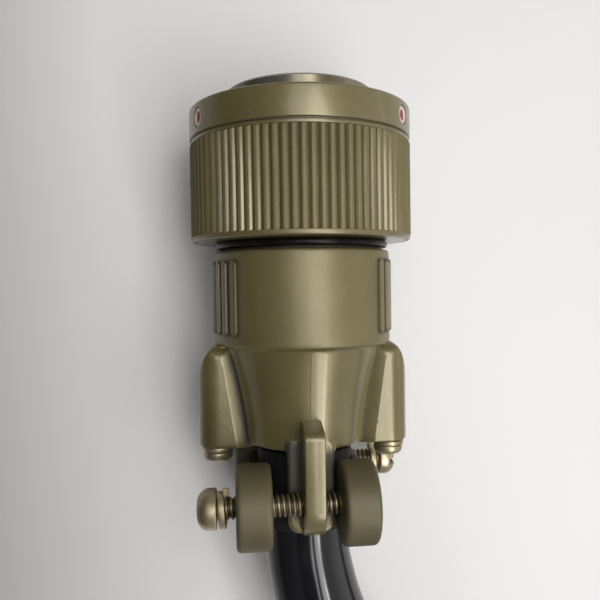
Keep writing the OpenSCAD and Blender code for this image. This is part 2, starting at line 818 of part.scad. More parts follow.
// Ring of corners at point i of a route, square to the route, counted from a reference direction
function unit(v) = v / norm(v);
function route_heading(route, i) = unit(route[min(i + 1, len(route) - 1)] - route[max(i - 1, 0)]);
function sweep_ring(route, i, r, sides, reference) =
    let (
        ahead = route_heading(route, i),
        side = unit(cross(ahead, reference)),
        up = cross(side, ahead)
    )
    [for (j = [0 : sides - 1]) route[i] + r * (cos(j * 360 / sides) * side + sin(j * 360 / sides) * up)];

// Round bar along a route
module sweep(route, r, sides, reference) {
    rings = len(route);
    points = [for (i = [0 : rings - 1], p = sweep_ring(route, i, r, sides, reference)) p];
    polyhedron(points, concat(ring_sides(rings, sides, false), ring_caps(rings, sides)), convexity = 8);
}

// Core wire from a contact's crimp end, through the grommet and in to the jacket's end
function lifted(spot, z) = [spot[0], spot[1], z];
module core_wire(i) color(nylon) lay() {
    out = contact_spot(i, contact_pcd / 2);
    in = contact_spot(i, wire_ring_r);
    bend = wire_bend_share * (in - out);
    z_out = z_ferrule_back;
    z_in = z_jacket + 2 * wire_bend_len;
    sweep(
        [
            lifted(out, z_crimp_end - seat), lifted(out, z_out), lifted(out + bend, z_out - wire_bend_len),
            lifted(in - bend, z_in + wire_bend_len), lifted(in, z_in), lifted(in, z_jacket + seat)
        ],
        wire_r, wire_sides, [0, 1, 0]
    );
}

module cable_jacket() color(rubber) sweep(ROUTE, cable_r, cable_sides, [0, 0, 1]);

// Places children at the start of free lead i, with +X outward and +Y along the cable's end
module at_lead(i) {
    spot = contact_spot(i, wire_ring_r);
    translate(cable_end + [spot[0], seat, spot[1]])
        rotate([0, -atan2(spot[1], spot[0]), 0])
            children();
}
function lead_turn(i) = (lead_len + 2 * (i % 3)) / lead_bend_r * 180 / PI;

// Places children on free lead i, turned to its end when at_end is 1
module on_lead(i, at_end) translate([lead_bend_r, 0, 0]) rotate([0, 0, -at_end * lead_turn(i)]) children();

module free_leads() color(nylon) {
    for (i = [0 : ring_contacts])
        at_lead(i)
            on_lead(i, 1)
                rotate([0, 0, 180])
                    rotate_extrude(angle = lead_turn(i), $fn = 360)
                        translate([lead_bend_r, 0])
                            circle(r = wire_r);
}

module lead_tips() color(copper) {
    for (i = [0 : ring_contacts])
        at_lead(i)
            on_lead(i, 1)
                translate([-lead_bend_r, seat, 0])
                    rotate([-90, 0, 0])
                        cylinder(d = lead_tip_d, h = lead_tip_len);
}

plug_shell();
front_insert();
rear_grommet();
grommet_ferrule();
face_seal();
endbell_gasket();
for (i = [0 : ring_contacts])
    socket_contact(i);
wave_spring();
thrust_washer();
retaining_ring();
coupling_nut();
for (i = [1 : pin_count])
    bayonet_pin(i);
endbell();
boss_screw_left();
boss_screw_right();
boss_washer_left();
boss_washer_right();
clamp_saddle_left();
clamp_saddle_right();
clamp_screw_front();
clamp_screw_rear();
clamp_washer_front();
clamp_washer_rear();
cable_bushing();
for (i = [0 : ring_contacts])
    core_wire(i);
cable_jacket();
free_leads();
lead_tips();
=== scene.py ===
import math

import bpy
from bpy.props import FloatProperty, FloatVectorProperty, PointerProperty
from mathutils import Matrix, Vector


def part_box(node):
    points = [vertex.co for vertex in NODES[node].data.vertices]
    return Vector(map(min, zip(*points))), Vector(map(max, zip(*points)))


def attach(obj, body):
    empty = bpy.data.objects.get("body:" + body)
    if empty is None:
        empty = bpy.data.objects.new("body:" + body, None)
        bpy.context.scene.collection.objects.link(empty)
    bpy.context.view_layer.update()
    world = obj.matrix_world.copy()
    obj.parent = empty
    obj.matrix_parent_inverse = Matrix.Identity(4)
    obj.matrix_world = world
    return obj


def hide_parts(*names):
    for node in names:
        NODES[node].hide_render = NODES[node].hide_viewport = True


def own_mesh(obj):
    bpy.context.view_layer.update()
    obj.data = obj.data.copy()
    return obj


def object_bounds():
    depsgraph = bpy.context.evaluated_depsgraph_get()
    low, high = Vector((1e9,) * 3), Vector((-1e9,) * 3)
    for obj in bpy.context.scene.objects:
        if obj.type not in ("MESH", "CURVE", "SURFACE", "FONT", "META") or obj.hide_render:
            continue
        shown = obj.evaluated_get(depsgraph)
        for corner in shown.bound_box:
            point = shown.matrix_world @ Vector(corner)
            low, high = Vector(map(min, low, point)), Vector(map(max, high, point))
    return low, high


bl_info = {
    "name": "Bayonet plug dresser",
    "version": (1, 0, 0),
    "blender": (4, 5, 0),
    "location": "3D View > Sidebar > Plug",
    "description": "Finishes, threads, cable and stage for a circular bayonet plug with a cable clamp",
    "category": "Object",
}

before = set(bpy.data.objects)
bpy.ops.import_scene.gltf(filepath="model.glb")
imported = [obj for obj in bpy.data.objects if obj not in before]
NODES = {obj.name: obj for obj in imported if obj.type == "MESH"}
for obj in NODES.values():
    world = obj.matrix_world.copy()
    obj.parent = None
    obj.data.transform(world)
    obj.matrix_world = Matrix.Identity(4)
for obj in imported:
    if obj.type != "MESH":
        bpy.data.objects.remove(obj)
CAD_BOX = [list(corner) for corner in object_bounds()]
MM = 0.001
MERGE = 0.000002
AXIS = Vector((0, 1, 0))
WIRE_LETTERS = "abcdefg"
PIN_ANGLES = (-65, 55, 175)

# Lengths below are in millimetres and angles in degrees
NUT_R = 18.49
PIN_RED_R = 0.88
PIN_PALE_R = 1.26
# Outlines: radius, place along the axis, rounding of the corner
NUT_OUTLINE = (
    (16.4, -3.2, 0.2), (NUT_R, -3.2, 0.4), (NUT_R, -8.0, 0.12), (18.1, -8.1, 0.05), (18.1, -8.3, 0.05),
    (18.3, -8.4, 0.08), (18.3, -8.85, 0.1), (18.04, -8.95, 0.05), (18.04, -23.75, 0.1), (18.4, -24.0, 0.1),
    (18.38, -24.8, 0.3), (13.76, -24.8, 0.2), (13.76, -22.8, 0), (16.4, -22.8, 0.2),
)
PIN_OUTLINE = (
    (0, 18.22, 0), (PIN_RED_R, 18.22, 0), (0.92, 18.36, 0.03), (PIN_PALE_R, 18.4, 0), (1.44, 18.4, 0.08),
    (1.5, 18.2, 0), (1.5, 14.7, 0.2), (0, 14.7, 0),
)
PIN_Y = -5.7
PIN_PAINT_FROM = 18.2
RIBS = 82
THREAD_PITCH = 0.794
WASHER_TURN = 348
FRONT_END = -8.75
RIB_END = -24.3
RIB_HALF = ((-0.7, 17.7), (-0.67, 18.06), (-0.24, NUT_R))
SHARP_DEG = 50
BARREL_R = 14.8
BARREL_FRONT = -26.45
# Radius and place along the axis of the bell's two ends
BELL_TOP = (13.1, -41.8)
BELL_END = (10.1, -58.2)
BELL_FLARE_R = 80
BELL_ROOM = (
    (0, -26, 0), (13.35, -26, 0), (13.35, -35.6, 0), (11.35, -35.6, 0), (11.35, -36.4, 0),
    (11.2, -36.4, 0), (11.2, -41.6, 0), (7.4, -55.6, 0), (7.4, -60, 0), (0, -60, 0),
)
BOSS_AXIS = 14.7
BOSS_IN = 7.8
BOSS_OUT = 17.8
BOSS_HALF = 3.5
BOSS_TOP = -41.6
BOSS_END = -58.9
# Half width and height of the dome on a boss
BOSS_DOME = (3.9, 7)
BOSS_SCREW_Y = -59.89
CLAMP_Y = -65.7
CLAMP_Z = 12
# Outline of a lug's web: height above the axis, place along it, rounding
LUG_OUTLINE = (
    (9.3, -52.9, 0), (15.5, -54.3, 1.3), (15.5, -70.9, 5.15), (8.75, -70.9, 0), (8.75, -58.1, 0),
    (8.3, -58.1, 0), (8.3, -53.3, 0),
)
LUG_THICK = 3.2
GRIP_TOP = 15.13
GRIPS = 9
GRIP_STEP = 9.6
CLAMP_HEAD = 3.0
RING_BORE = 12.7
RING_SPLIT = 24
LEAD_BEND = 160
LEAD_RING = 2.9
LEAD_LENGTH = 20
LEAD_LONGER = 2
STRAND_RING = 0.49
TIP_STEPS = 8
TIP_STEP = 0.74
# Turn of the strands at each step, in radians
TIP_TWIST = 0.2
CABLE_END = (124, -17.98, -11.4)
SLEEVE_OUTLINE = ((7.15, -59.1, 0.2), (8.0, -59.1, 0.3), (8.0, -72.0, 0.35), (7.15, -72.0, 0.25))
CORE_COLOURS = (
    (0.55, 0.53, 0.48), (0.02, 0.02, 0.022), (0.30, 0.03, 0.025), (0.04, 0.16, 0.06), (0.12, 0.06, 0.03),
    (0.03, 0.07, 0.28), (0.55, 0.40, 0.05),
)

# Middle line of the cable, from inside the bell round to its cut end
ROUTE_MM = (
    (0, -48, 0), (0, -60, 0), (0, -74, 0), (1, -82, 0.5), (3.5, -91, 0.9), (7.5, -100, 0.6),
    (13, -110, -1), (21, -119, -3.5), (31, -127, -6.5), (43, -132, -9), (56, -134, -11),
    (69, -133, -11.4), (81, -130, -11.4), (93, -124, -11.4), (103, -116, -11.4),
    (112, -106, -11.4), (118, -95, -11.4), (122, -83, -11.4), (124, -70, -11.4),
    (124, -57, -11.4), (124, -44, -11.4), (124, -31, -11.4), (124, -18, -11.4),
)
# How thick the cable is at some points of the route, as a share of its radius
CABLE_SWELL = {
    3: 1.03, 4: 1.06, 5: 1.07, 6: 1.05, 7: 1.02, 9: 0.99, 10: 0.985, 11: 0.99,
    17: 0.99, 18: 0.98, 19: 0.98, 20: 0.99,
}


def length_prop(name, text, value):
    return FloatProperty(name=name, description=text, default=value, unit="LENGTH", precision=5)


def colour_prop(name, text, value):
    return FloatVectorProperty(name=name, description=text, default=value, subtype="COLOR", min=0, max=1)


def angle_prop(name, text, degrees):
    return FloatProperty(name=name, description=text, default=math.radians(degrees), subtype="ANGLE")


def power_prop(name, text, value):
    return FloatProperty(name=name, description=text, default=value, unit="POWER")


class PlugSizes(bpy.types.PropertyGroup):
    """Sizes that the dressed pieces share"""

    nut_r: length_prop("Nut radius", "Outside of the coupling nut over its ribs", 0.0185)
    cable_r: length_prop("Cable radius", "Outside of the cable's jacket", 0.00706)
    core_r: length_prop("Core radius", "Outside of one core's insulation", 0.00129)
    strand_r: length_prop("Strand radius", "One strand of a bare lead tip", 0.00024)


class PlugColours(bpy.types.PropertyGroup):
    """Colours of the finishes"""

    olive: colour_prop("Olive", "Olive finish in full light", (0.172, 0.141, 0.054))
    olive_deep: colour_prop("Deep olive", "Olive finish in its darker clouds", (0.15, 0.122, 0.045))
    # This colour stands for dirt and also for painted shade in grooves, gaps and corners
    grime_and_shade: colour_prop("Grime", "Dirt in grooves and corners", (0.035, 0.028, 0.015))
    worn: colour_prop("Worn edge", "Finish where hands rub it thin", (0.26, 0.235, 0.16))
    gloss_olive: colour_prop("Gloss olive", "Turned shell and retaining ring", (0.25, 0.232, 0.18))
    screw: colour_prop("Screw", "Yellowed plating of screws and washers", (0.55, 0.47, 0.31))
    screw_dark: colour_prop("Dark plating", "Plating in its duller patches", (0.32, 0.265, 0.16))
    steel: colour_prop("Steel", "Bare spring steel", (0.52, 0.51, 0.49))
    steel_dull: colour_prop("Dull steel", "Spring steel in its duller streaks", (0.38, 0.37, 0.35))
    ring_black: colour_prop("Ring black", "Blackened retaining ring", (0.006, 0.005, 0.004))
    ring_brown: colour_prop("Ring brown", "Retaining ring where the black is thin", (0.014, 0.012, 0.008))
    pin_red: colour_prop("Pin red", "Colour mark in the end of a bayonet pin", (0.28, 0.05, 0.045))
    pin_pale: colour_prop("Pin pale", "Pale ring round the red mark", (0.66, 0.52, 0.49))
    gold: colour_prop("Gold", "Plating of the contacts", (0.82, 0.58, 0.24))
    gold_dull: colour_prop("Dull gold", "Plating of the contacts in its clouds", (0.66, 0.44, 0.17))
    insert: colour_prop("Insert", "Moulded insulator", (0.035, 0.042, 0.036))
    rubber: colour_prop("Rubber", "Bushing and seals", (0.006, 0.006, 0.007))
    sheath: colour_prop("Sheath", "Cable jacket", (0.009, 0.009, 0.011))
    dust: colour_prop("Dust", "Dust on the cable jacket", (0.12, 0.12, 0.12))
    nylon: colour_prop("Nylon", "Grommet follower", (0.62, 0.58, 0.48))
    copper: colour_prop("Tinned copper", "Strands of the bare tips", (0.72, 0.70, 0.66))
    copper_dull: colour_prop("Dull copper", "Strands in their hollows", (0.5, 0.47, 0.42))
    table: colour_prop("Table", "Pale table top", (0.80, 0.785, 0.775))
    card: colour_prop("Card", "Dark card that shades the left side", (0.02, 0.02, 0.022))


class PlugStage(bpy.types.PropertyGroup):
    """Camera and light"""

    lens: FloatProperty(name="Lens", description="Focal length", default=37.98, unit="CAMERA")
    eye_height: length_prop("Eye height", "Camera above the plug's axis", 0.1085)
    foot_y: length_prop("Foot", "Point of the axis square under the camera", -0.0317)
    aside: length_prop("Aside", "Camera moved left of the axis", 0.00034)
    lean: angle_prop("Lean", "Camera leaned left about the axis", 6)
    pitch: angle_prop("Pitch", "Camera tipped towards the cable", 1.54)
    turn: angle_prop("Turn", "Camera turned about its own axis", 0.9)
    panel_power: power_prop("Panel", "Power of the main panel", 1.0)
    fill_power: power_prop("Fill", "Power of the dimmer panel", 0.17)
    thin_power: power_prop("Thin", "Power of the thin panel", 0.12)
    room_side: FloatVectorProperty(
        name="Room sides", description="Places from the left to the right of the room", size=5,
        default=(0.0, 0.3, 0.6, 0.9, 1.0),
    )
    room_light: FloatVectorProperty(
        name="Room light", description="Light that comes from those places", size=5,
        default=(0.02, 0.16, 0.33, 0.57, 1.05), min=0,
    )


def plug():
    return bpy.context.scene.plug


class Wire:
    """A socket in a node tree that takes part in sums like a number."""

    def __init__(self, sheet, socket):
        self.sheet = sheet
        self.socket = socket

    def _sum(self, operation, first, second=0.0):
        return self.sheet.node("Math", {"operation": operation}, {0: first, 1: second})

    def __add__(self, other):
        return self._sum("ADD", self, other)

    def __radd__(self, other):
        return self._sum("ADD", other, self)

    def __sub__(self, other):
        return self._sum("SUBTRACT", self, other)

    def __rsub__(self, other):
        return self._sum("SUBTRACT", other, self)

    def __mul__(self, other):
        return self._sum("MULTIPLY", self, other)

    def __rmul__(self, other):
        return self._sum("MULTIPLY", other, self)

    def __truediv__(self, other):
        return self._sum("DIVIDE", self, other)

    def __pow__(self, other):
        return self._sum("POWER", self, other)

    def __abs__(self):
        return self._sum("ABSOLUTE", self)

    def most(self, other):
        return self._sum("MAXIMUM", self, other)

    def rise(self, low, high):
        """0 below low, 1 above high, smooth between; low above high turns it round."""
        return self.sheet.node(
            "MapRange", {"interpolation_type": "SMOOTHSTEP"},
            {"Value": self, "From Min": low, "From Max": high, "To Min": 0.0, "To Max": 1.0},
        )


class NodeSheet:
    """A node tree and the way to add nodes to it."""

    def __init__(self, tree):
        self.tree = tree

    def node(self, kind, settings=None, inputs=None, output=0):
        made = self.tree.nodes.new("ShaderNode" + kind)
        for key, value in (settings or {}).items():
            if key == "stops":
                self._stops(made.color_ramp.elements, value)
            else:
                setattr(made, key, value)
        for key, value in (inputs or {}).items():
            self.put(made.inputs[key], value)
        if isinstance(output, tuple):
            return [Wire(self, made.outputs[one]) for one in output]
        return Wire(self, made.outputs[output])

    def _stops(self, elements, stops):
        while len(elements) < len(stops):
            elements.new(1.0)
        for element, (at, colour) in zip(elements, stops):
            element.position = at
            element.color = (*colour, 1.0)

    def put(self, socket, value):
        if isinstance(value, Wire):
            self.tree.links.new(value.socket, socket)
        elif socket.type == "RGBA" and len(value) == 3:
            socket.default_value = (*value, 1.0)
        else:
            socket.default_value = value


class Finish(NodeSheet):
    """A material with the nodes that make its look."""

    def __init__(self, name):
        self.material = bpy.data.materials.new(name)
        self.material.use_nodes = True
        super().__init__(self.material.node_tree)
        self.shader = self.tree.nodes["Principled BSDF"]
        self.place = self.node("TexCoord", output="Object")
        self.x, self.y, self.z = self.node("SeparateXYZ", None, {0: self.place}, output=(0, 1, 2))

    def noise(self, scale, detail=2.0, rough=0.5, place=None):
        """Cloudy noise from about 0 to 1; scale is in clouds per metre."""
        return self.node("TexNoise", None, {
            "Vector": place or self.place, "Scale": scale, "Detail": detail, "Roughness": rough,
        })

    def stretched(self, factors):
        """Object coordinates stretched by three factors."""
        return self.node("VectorMath", {"operation": "MULTIPLY"}, {0: self.place, 1: factors})

    def mix(self, first, second, factor):
        return self.node("Mix", {"data_type": "RGBA"}, {0: factor, 6: first, 7: second}, output=2)

    def from_axis(self):
        """Distance from the plug's axis."""
        return (self.x * self.x + self.z * self.z) ** 0.5

    def bump(self, height, distance, strength=1.0):
        sockets = {"Height": height, "Distance": distance, "Strength": strength}
        return self.node("Bump", None, sockets, output="Normal")

    def shade(self, **values):
        """Sets or links the shader's sockets, named with underscores for blanks."""
        for name, value in values.items():
            self.put(self.shader.inputs[name.replace("_", " ").title().replace("Ior", "IOR")], value)
        return self.material


# The last argument darkens the whole piece by a fixed share toward the dark colour kept for grime and shade
def cast_olive(name, rough, coat, darkened):
    """Olive finish on a die casting: cloudy tone, fine grain, and painted shade that darkens and dulls its
    hollows.
    """
    colours = plug().colours
    look = Finish(name)
    clouds = look.noise(140, 3.0)
    specks = look.noise(2600, 2.0).rise(0.62, 0.78)
    colour = look.mix(colours.olive_deep, colours.olive, clouds.rise(0.3, 0.7))
    colour = look.mix(colour, colours.worn, specks * 0.22)
    side, front = abs(look.x), abs(look.z)
    # The left side gets stronger painted shade below
    left = look.x.rise(0.002, -0.002)
    end_r, end_y = BELL_END[0] * MM, BELL_END[1] * MM
    top_r, top_y = BELL_TOP[0] * MM, BELL_TOP[1] * MM
    up_bell = ((look.y - end_y) / (top_y - end_y)).most(0.0)
    bell_r = end_r + (up_bell ** 1.4) * (top_r - end_r)
    # Painted shade in the valleys between the bosses and the bell
    valley = abs(look.from_axis() - bell_r - 0.0002).rise(0.0009, 0.0002) * front.rise(0.0042, 0.0034)
    valley = valley * look.y.rise(-0.0425, -0.0445) * side.rise(0.0078, 0.0084)
    # Painted shade on the lug's tongue, in the slot beside its web
    slot = side.rise(0.0044, 0.0040) * side.rise(0.0014, 0.0018) * front.rise(0.0112, 0.0106)
    slot = slot * look.y.rise(-0.0575, -0.059).most(look.x.rise(0.001, -0.001))
    slot = slot * look.y.rise(-0.0695, -0.0675) * look.y.rise(-0.056, -0.0572)
    # Painted shade on the floor between the grip ribs, wider on the left side
    comb = (look.from_axis() - left * 0.00012).rise(0.01496, 0.01486) * front.rise(0.0106, 0.0096)
    comb = comb * look.y.rise(-0.0274, -0.0282) * look.y.rise(-0.0404, -0.0397)
    # Together these are painted shade, which also makes the finish less metallic, rougher and with less coat
    painted_shade = (valley * (0.3 + left * 0.55)).most(slot * 0.97).most(comb * 0.92)
    barrel = look.y.rise(-0.0425, -0.041)
    sandy = side.rise(0.0098, 0.0112) * look.y.rise(-0.0425, -0.0445)
    # The painted shade darkens the colour toward the dark colour kept for grime and shade
    colour = look.mix(colour, colours.grime_and_shade, painted_shade.most(darkened))
    grain = look.noise(1700, 3.0, 0.6) + look.noise(420, 2.0) * 1.5
    return look.shade(
        base_color=colour, metallic=0.4 - painted_shade * 0.3, specular_ior_level=1.0,
        roughness=rough + clouds * 0.08 - specks * 0.05 + (painted_shade * 0.25).most(barrel * 0.13),
        normal=look.bump(grain * (1.0 + sandy * 1.5), 0.00002, 0.55),
        coat_weight=(coat - barrel * coat * 0.6) * (1.0 - painted_shade), coat_roughness=0.1,
    )


def turned_olive():
    """Olive finish on the turned nut: dirt and painted shade between the ribs, rubbed rib tops, fine turning
    lines.
    """
    colours = plug().colours
    nut_r = plug().sizes.nut_r
    look = Finish("turned_olive")
    radius = look.from_axis()
    clouds = look.noise(150, 3.0)
    lines = look.noise(1.0, 2.0, place=look.stretched((60, 5200, 60)))
    colour = look.mix(colours.olive_deep, colours.olive, clouds.rise(0.3, 0.7))
    outside = radius.rise(nut_r - 0.0011, nut_r - 0.0007)
    # The grooves between the ribs are darkened, partly as dirt and partly as painted shade
    hollow = radius.rise(nut_r - 0.0003, nut_r - 0.00041) * outside
    patches = look.noise(320, 3.0).rise(0.35, 0.75)
    colour = look.mix(colour, colours.grime_and_shade, hollow * (0.8 + patches * 0.18))
    rubbed = look.noise(900, 3.0).rise(0.55, 0.75) * radius.rise(nut_r - 0.00006, nut_r)
    colour = look.mix(colour, colours.worn, rubbed * 0.25)
    height = lines * 0.6 + look.noise(1500, 2.0) * 0.6
    crest = radius.rise(nut_r - 0.00014, nut_r - 0.00006) * look.y.rise(-0.0085, -0.0088)
    return look.shade(
        base_color=colour, metallic=0.4, specular_ior_level=1.0,
        roughness=0.3 + clouds * 0.08 + (hollow * 0.2).most(crest * 0.28),
        normal=look.bump(height, 0.00001, 0.5), coat_weight=0.35 - crest * 0.35, coat_roughness=0.1,
    )


def gloss_shell():
    """Smooth turned finish of the shell's rim and the retaining ring."""
    colours = plug().colours
    look = Finish("gloss_shell")
    clouds = look.noise(200, 2.0)
    lines = look.noise(1.0, 2.0, place=look.stretched((80, 6000, 80)))
    colour = look.mix(colours.gloss_olive, colours.olive_deep, clouds.rise(0.4, 0.8))
    # Painted shade: behind the nut's rear edge the shell is darkened to near black, less metallic and rougher
    gap_shade = look.y.rise(-0.0235, -0.0245)
    colour = look.mix(colour, colours.grime_and_shade, gap_shade * 0.95)
    return look.shade(
        base_color=colour, metallic=0.75 - gap_shade * 0.6, roughness=0.2 + lines * 0.1 + gap_shade * 0.4,
        normal=look.bump(lines, 0.000006, 0.4),
    )


def dark_ring():
    """Blackened spring ring between the nut and the endbell."""
    colours = plug().colours
    look = Finish("dark_ring")
    clouds = look.noise(300, 2.0)
    return look.shade(
        base_color=look.mix(colours.ring_black, colours.ring_brown, clouds.rise(0.4, 0.7)),
        metallic=0.0, roughness=0.24 + clouds * 0.1, specular_ior_level=0.16,
    )


def plated_screw():
    """Yellowed plating of screws and washers, duller in patches and dark in the clamp screws' threads."""
    colours = plug().colours
    look = Finish("plated_screw")
    depth, height = look.y - CLAMP_Y * MM, abs(look.z) - CLAMP_Z * MM
    root = ((depth * depth + height * height) ** 0.5).rise(0.00168, 0.00142)
    patches = look.noise(380, 3.0).rise(0.38, 0.68)
    fine = look.noise(2400, 2.0)
    colour = look.mix(colours.screw_dark, colours.screw, patches)
    colour = look.mix(colour, colours.grime_and_shade, root * 0.85)
    return look.shade(
        base_color=colour, metallic=0.85, roughness=0.42 - patches * 0.14 + fine * 0.08,
        normal=look.bump(fine, 0.00001, 0.4),
    )


def spring_steel():
    """Bare spring steel with drawn streaks."""
    colours = plug().colours
    look = Finish("spring_steel")
    drawn = look.noise(900, 2.0)
    return look.shade(
        base_color=look.mix(colours.steel_dull, colours.steel, drawn), metallic=1.0,
        roughness=0.25 + drawn * 0.15, normal=look.bump(drawn, 0.000006, 0.4),
    )


def gold_contact():
    """Gold plating with faint clouds."""
    colours = plug().colours
    look = Finish("gold_contact")
    clouds = look.noise(600, 2.0)
    return look.shade(
        base_color=look.mix(colours.gold_dull, colours.gold, clouds.rise(0.3, 0.6)),
        metallic=1.0, roughness=0.2 + clouds * 0.12,
    )


def moulded(name, colour, rough, grain):
    """Moulded rubber or nylon: slight cloudiness and a fine matt grain."""
    look = Finish(name)
    clouds = look.noise(260, 3.0)
    fine = look.noise(grain, 2.0, 0.6)
    lighter = tuple(min(1.0, part * 1.6 + 0.004) for part in colour)
    return look.shade(
        base_color=look.mix(colour, lighter, clouds.rise(0.45, 0.8)),
        roughness=rough + fine * 0.14, normal=look.bump(fine, 0.000015, 0.5), specular_ior_level=0.3,
    )


def cable_sheath():
    """Extruded black jacket: glossy, with faint waves and dust."""
    colours = plug().colours
    look = Finish("cable_sheath")
    waves = look.noise(90, 2.0)
    fine = look.noise(1300, 2.0)
    dust = look.noise(3200, 3.0).rise(0.68, 0.8) * look.noise(120, 2.0).rise(0.45, 0.7)
    colour = look.mix(colours.sheath, colours.dust, dust * 0.35)
    return look.shade(
        base_color=colour, roughness=0.1 + waves * 0.06 + dust * 0.3, specular_ior_level=0.6,
        normal=look.bump(waves * 1.4 + fine * 0.12, 0.00006, 0.35),
    )


def core_insulation(name, colour):
    """Smooth insulation of one core, slightly uneven in tone."""
    look = Finish(name)
    fine = look.noise(1100, 2.0)
    darker = tuple(part * 0.7 for part in colour)
    return look.shade(
        base_color=look.mix(colour, darker, fine.rise(0.4, 0.8)), roughness=0.34 + fine * 0.12,
        normal=look.bump(fine, 0.000015, 0.3),
    )


def tinned_strand():
    """Tinned copper strands, duller in patches."""
    colours = plug().colours
    look = Finish("tinned_strand")
    fine = look.noise(1500, 2.0)
    return look.shade(
        base_color=look.mix(colours.copper_dull, colours.copper, fine.rise(0.3, 0.6)),
        metallic=1.0, roughness=0.26 + fine * 0.16,
    )


def table_top():
    """Pale matt table, with painted shade darkening its left side."""
    look = Finish("table_top")
    clouds = look.noise(5, 3.0)
    colour = plug().colours.table
    darker = tuple(part * 0.96 for part in colour)
    # Painted shade: the table's colour darkens towards its left side
    left_shade = tuple(part * 0.6 for part in colour)
    tone = look.mix(colour, darker, clouds.rise(0.35, 0.7))
    return look.shade(
        base_color=look.mix(tone, left_shade, look.x.rise(-0.024, -0.075)), roughness=0.5 + clouds * 0.1,
        specular_ior_level=0.25,
    )


def paint(name, colour):
    """A dab of paint: slightly uneven tone."""
    look = Finish(name)
    fine = look.noise(1800, 2.0)
    darker = tuple(part * 0.6 for part in colour)
    tone = look.mix(colour, darker, fine.rise(0.45, 0.8))
    return look.shade(base_color=tone, roughness=0.4 + fine * 0.2)


def free_hands():
    """Object mode with nothing selected."""
    if bpy.context.mode != "OBJECT":
        bpy.ops.object.mode_set(mode="OBJECT")
    bpy.ops.object.select_all(action="DESELECT")


def take(piece):
    """Makes a piece the only selected and active object."""
    free_hands()
    piece.select_set(True)
    bpy.context.view_layer.objects.active = piece


def edit(piece):
    """Opens a piece for editing with all of it selected."""
    take(piece)
    bpy.ops.object.mode_set(mode="EDIT")
    bpy.ops.mesh.select_all(action="SELECT")


def name_piece(piece, name):
    piece.name = name
    piece.data.name = name


def close_up(piece):
    """Merges doubles and turns the faces outwards."""
    edit(piece)
    bpy.ops.mesh.remove_doubles(threshold=MERGE)
    bpy.ops.mesh.normals_make_consistent(inside=False)
    bpy.ops.object.mode_set(mode="OBJECT")
    return piece


def cap_ends(piece):
    """Fills the two open ends of a coiled shape."""
    edit(piece)
    bpy.ops.mesh.remove_doubles(threshold=MERGE)
    bpy.ops.mesh.select_all(action="DESELECT")
    bpy.ops.mesh.select_non_manifold()
    bpy.ops.mesh.edge_face_add()
    return close_up(piece)


def round_off(corners, steps=5):
    """Points along a line of (x, y, rounding) corners, with an arc at each rounded corner."""
    points = []
    for i, (x, y, radius) in enumerate(corners):
        corner = Vector((x, y))
        if not radius:
            points.append(corner)
            continue
        back = (Vector(corners[i - 1][:2]) - corner).normalized()
        ahead = (Vector(corners[(i + 1) % len(corners)][:2]) - corner).normalized()
        half = back.angle(ahead) / 2
        middle = corner + (back + ahead).normalized() * radius / math.sin(half)
        first = corner + back * radius / math.tan(half) - middle
        last = corner + ahead * radius / math.tan(half) - middle
        for step in range(steps + 1):
            part = step / steps
            swing = (first * (1 - part) + last * part).normalized()
            points.append(middle + swing * radius)
    return points


def sketch(name, points):
    """Draws a line of vertices through points in millimetres and leaves it selected."""
    free_hands()
    bpy.ops.mesh.primitive_plane_add(size=MM, location=(0, 0, 0))
    piece = bpy.context.object
    name_piece(piece, name)
    edit(piece)
    bpy.ops.mesh.merge(type="CENTER")
    places = [Vector(point) * MM for point in points]
    bpy.ops.transform.translate(value=places[0])
    for here, there in zip(places, places[1:]):
        bpy.ops.mesh.extrude_vertices_move(TRANSFORM_OT_translate={"value": there - here})
    bpy.ops.mesh.select_all(action="SELECT")
    return piece


def lathe(name, corners, steps=96, closed=False):
    """Turns an outline of (radius, along Y, rounding) corners about the Y axis."""
    line = [(x, y, 0) for x, y in round_off(corners)]
    piece = sketch(name, line + line[:1] if closed else line)
    bpy.ops.mesh.spin(steps=steps, angle=2 * math.pi, center=(0, 0, 0), axis=(0, 1, 0))
    return close_up(piece)


def section(name, corners, steps=5):
    """A filled outline of (x, y, rounding) corners, left open for editing."""
    line = [(x, y, 0) for x, y in round_off(corners, steps)]
    piece = sketch(name, line + line[:1])
    bpy.ops.mesh.remove_doubles(threshold=MERGE)
    bpy.ops.mesh.edge_face_add()
    return piece


def slab(name, points, depth):
    """Fills an outline of points in millimetres and pulls it out by a vector."""
    piece = sketch(name, points + points[:1])
    bpy.ops.mesh.edge_face_add()
    bpy.ops.mesh.extrude_region_move(TRANSFORM_OT_translate={"value": Vector(depth) * MM})
    return close_up(piece)


def move(piece, turn_deg=0, about="Y", shift=(0, 0, 0)):
    """Turns a piece about a main axis through the origin, then shifts it by millimetres."""
    edit(piece)
    if turn_deg:
        bpy.ops.transform.rotate(
            value=-math.radians(turn_deg), orient_axis=about, orient_type="GLOBAL", center_override=(0, 0, 0),
        )
    bpy.ops.transform.translate(value=Vector(shift) * MM)
    bpy.ops.object.mode_set(mode="OBJECT")
    return piece


def twin(piece, name):
    """A copy with its own mesh."""
    take(piece)
    bpy.ops.object.duplicate(linked=False)
    copy = bpy.context.object
    name_piece(copy, name)
    return copy


def change(piece, kind, **settings):
    """Adds a modifier and applies it."""
    take(piece)
    bpy.ops.object.modifier_add(type=kind)
    modifier = piece.modifiers[-1]
    for key, value in settings.items():
        setattr(modifier, key, value)
    bpy.ops.object.modifier_apply(modifier=modifier.name)


def cut(piece, other, operation="DIFFERENCE"):
    """Takes another solid away from a piece, or with INTERSECT keeps only what lies within it."""
    change(piece, "BOOLEAN", operation=operation, solver="EXACT", object=other)
    bpy.data.objects.remove(other)
    return piece


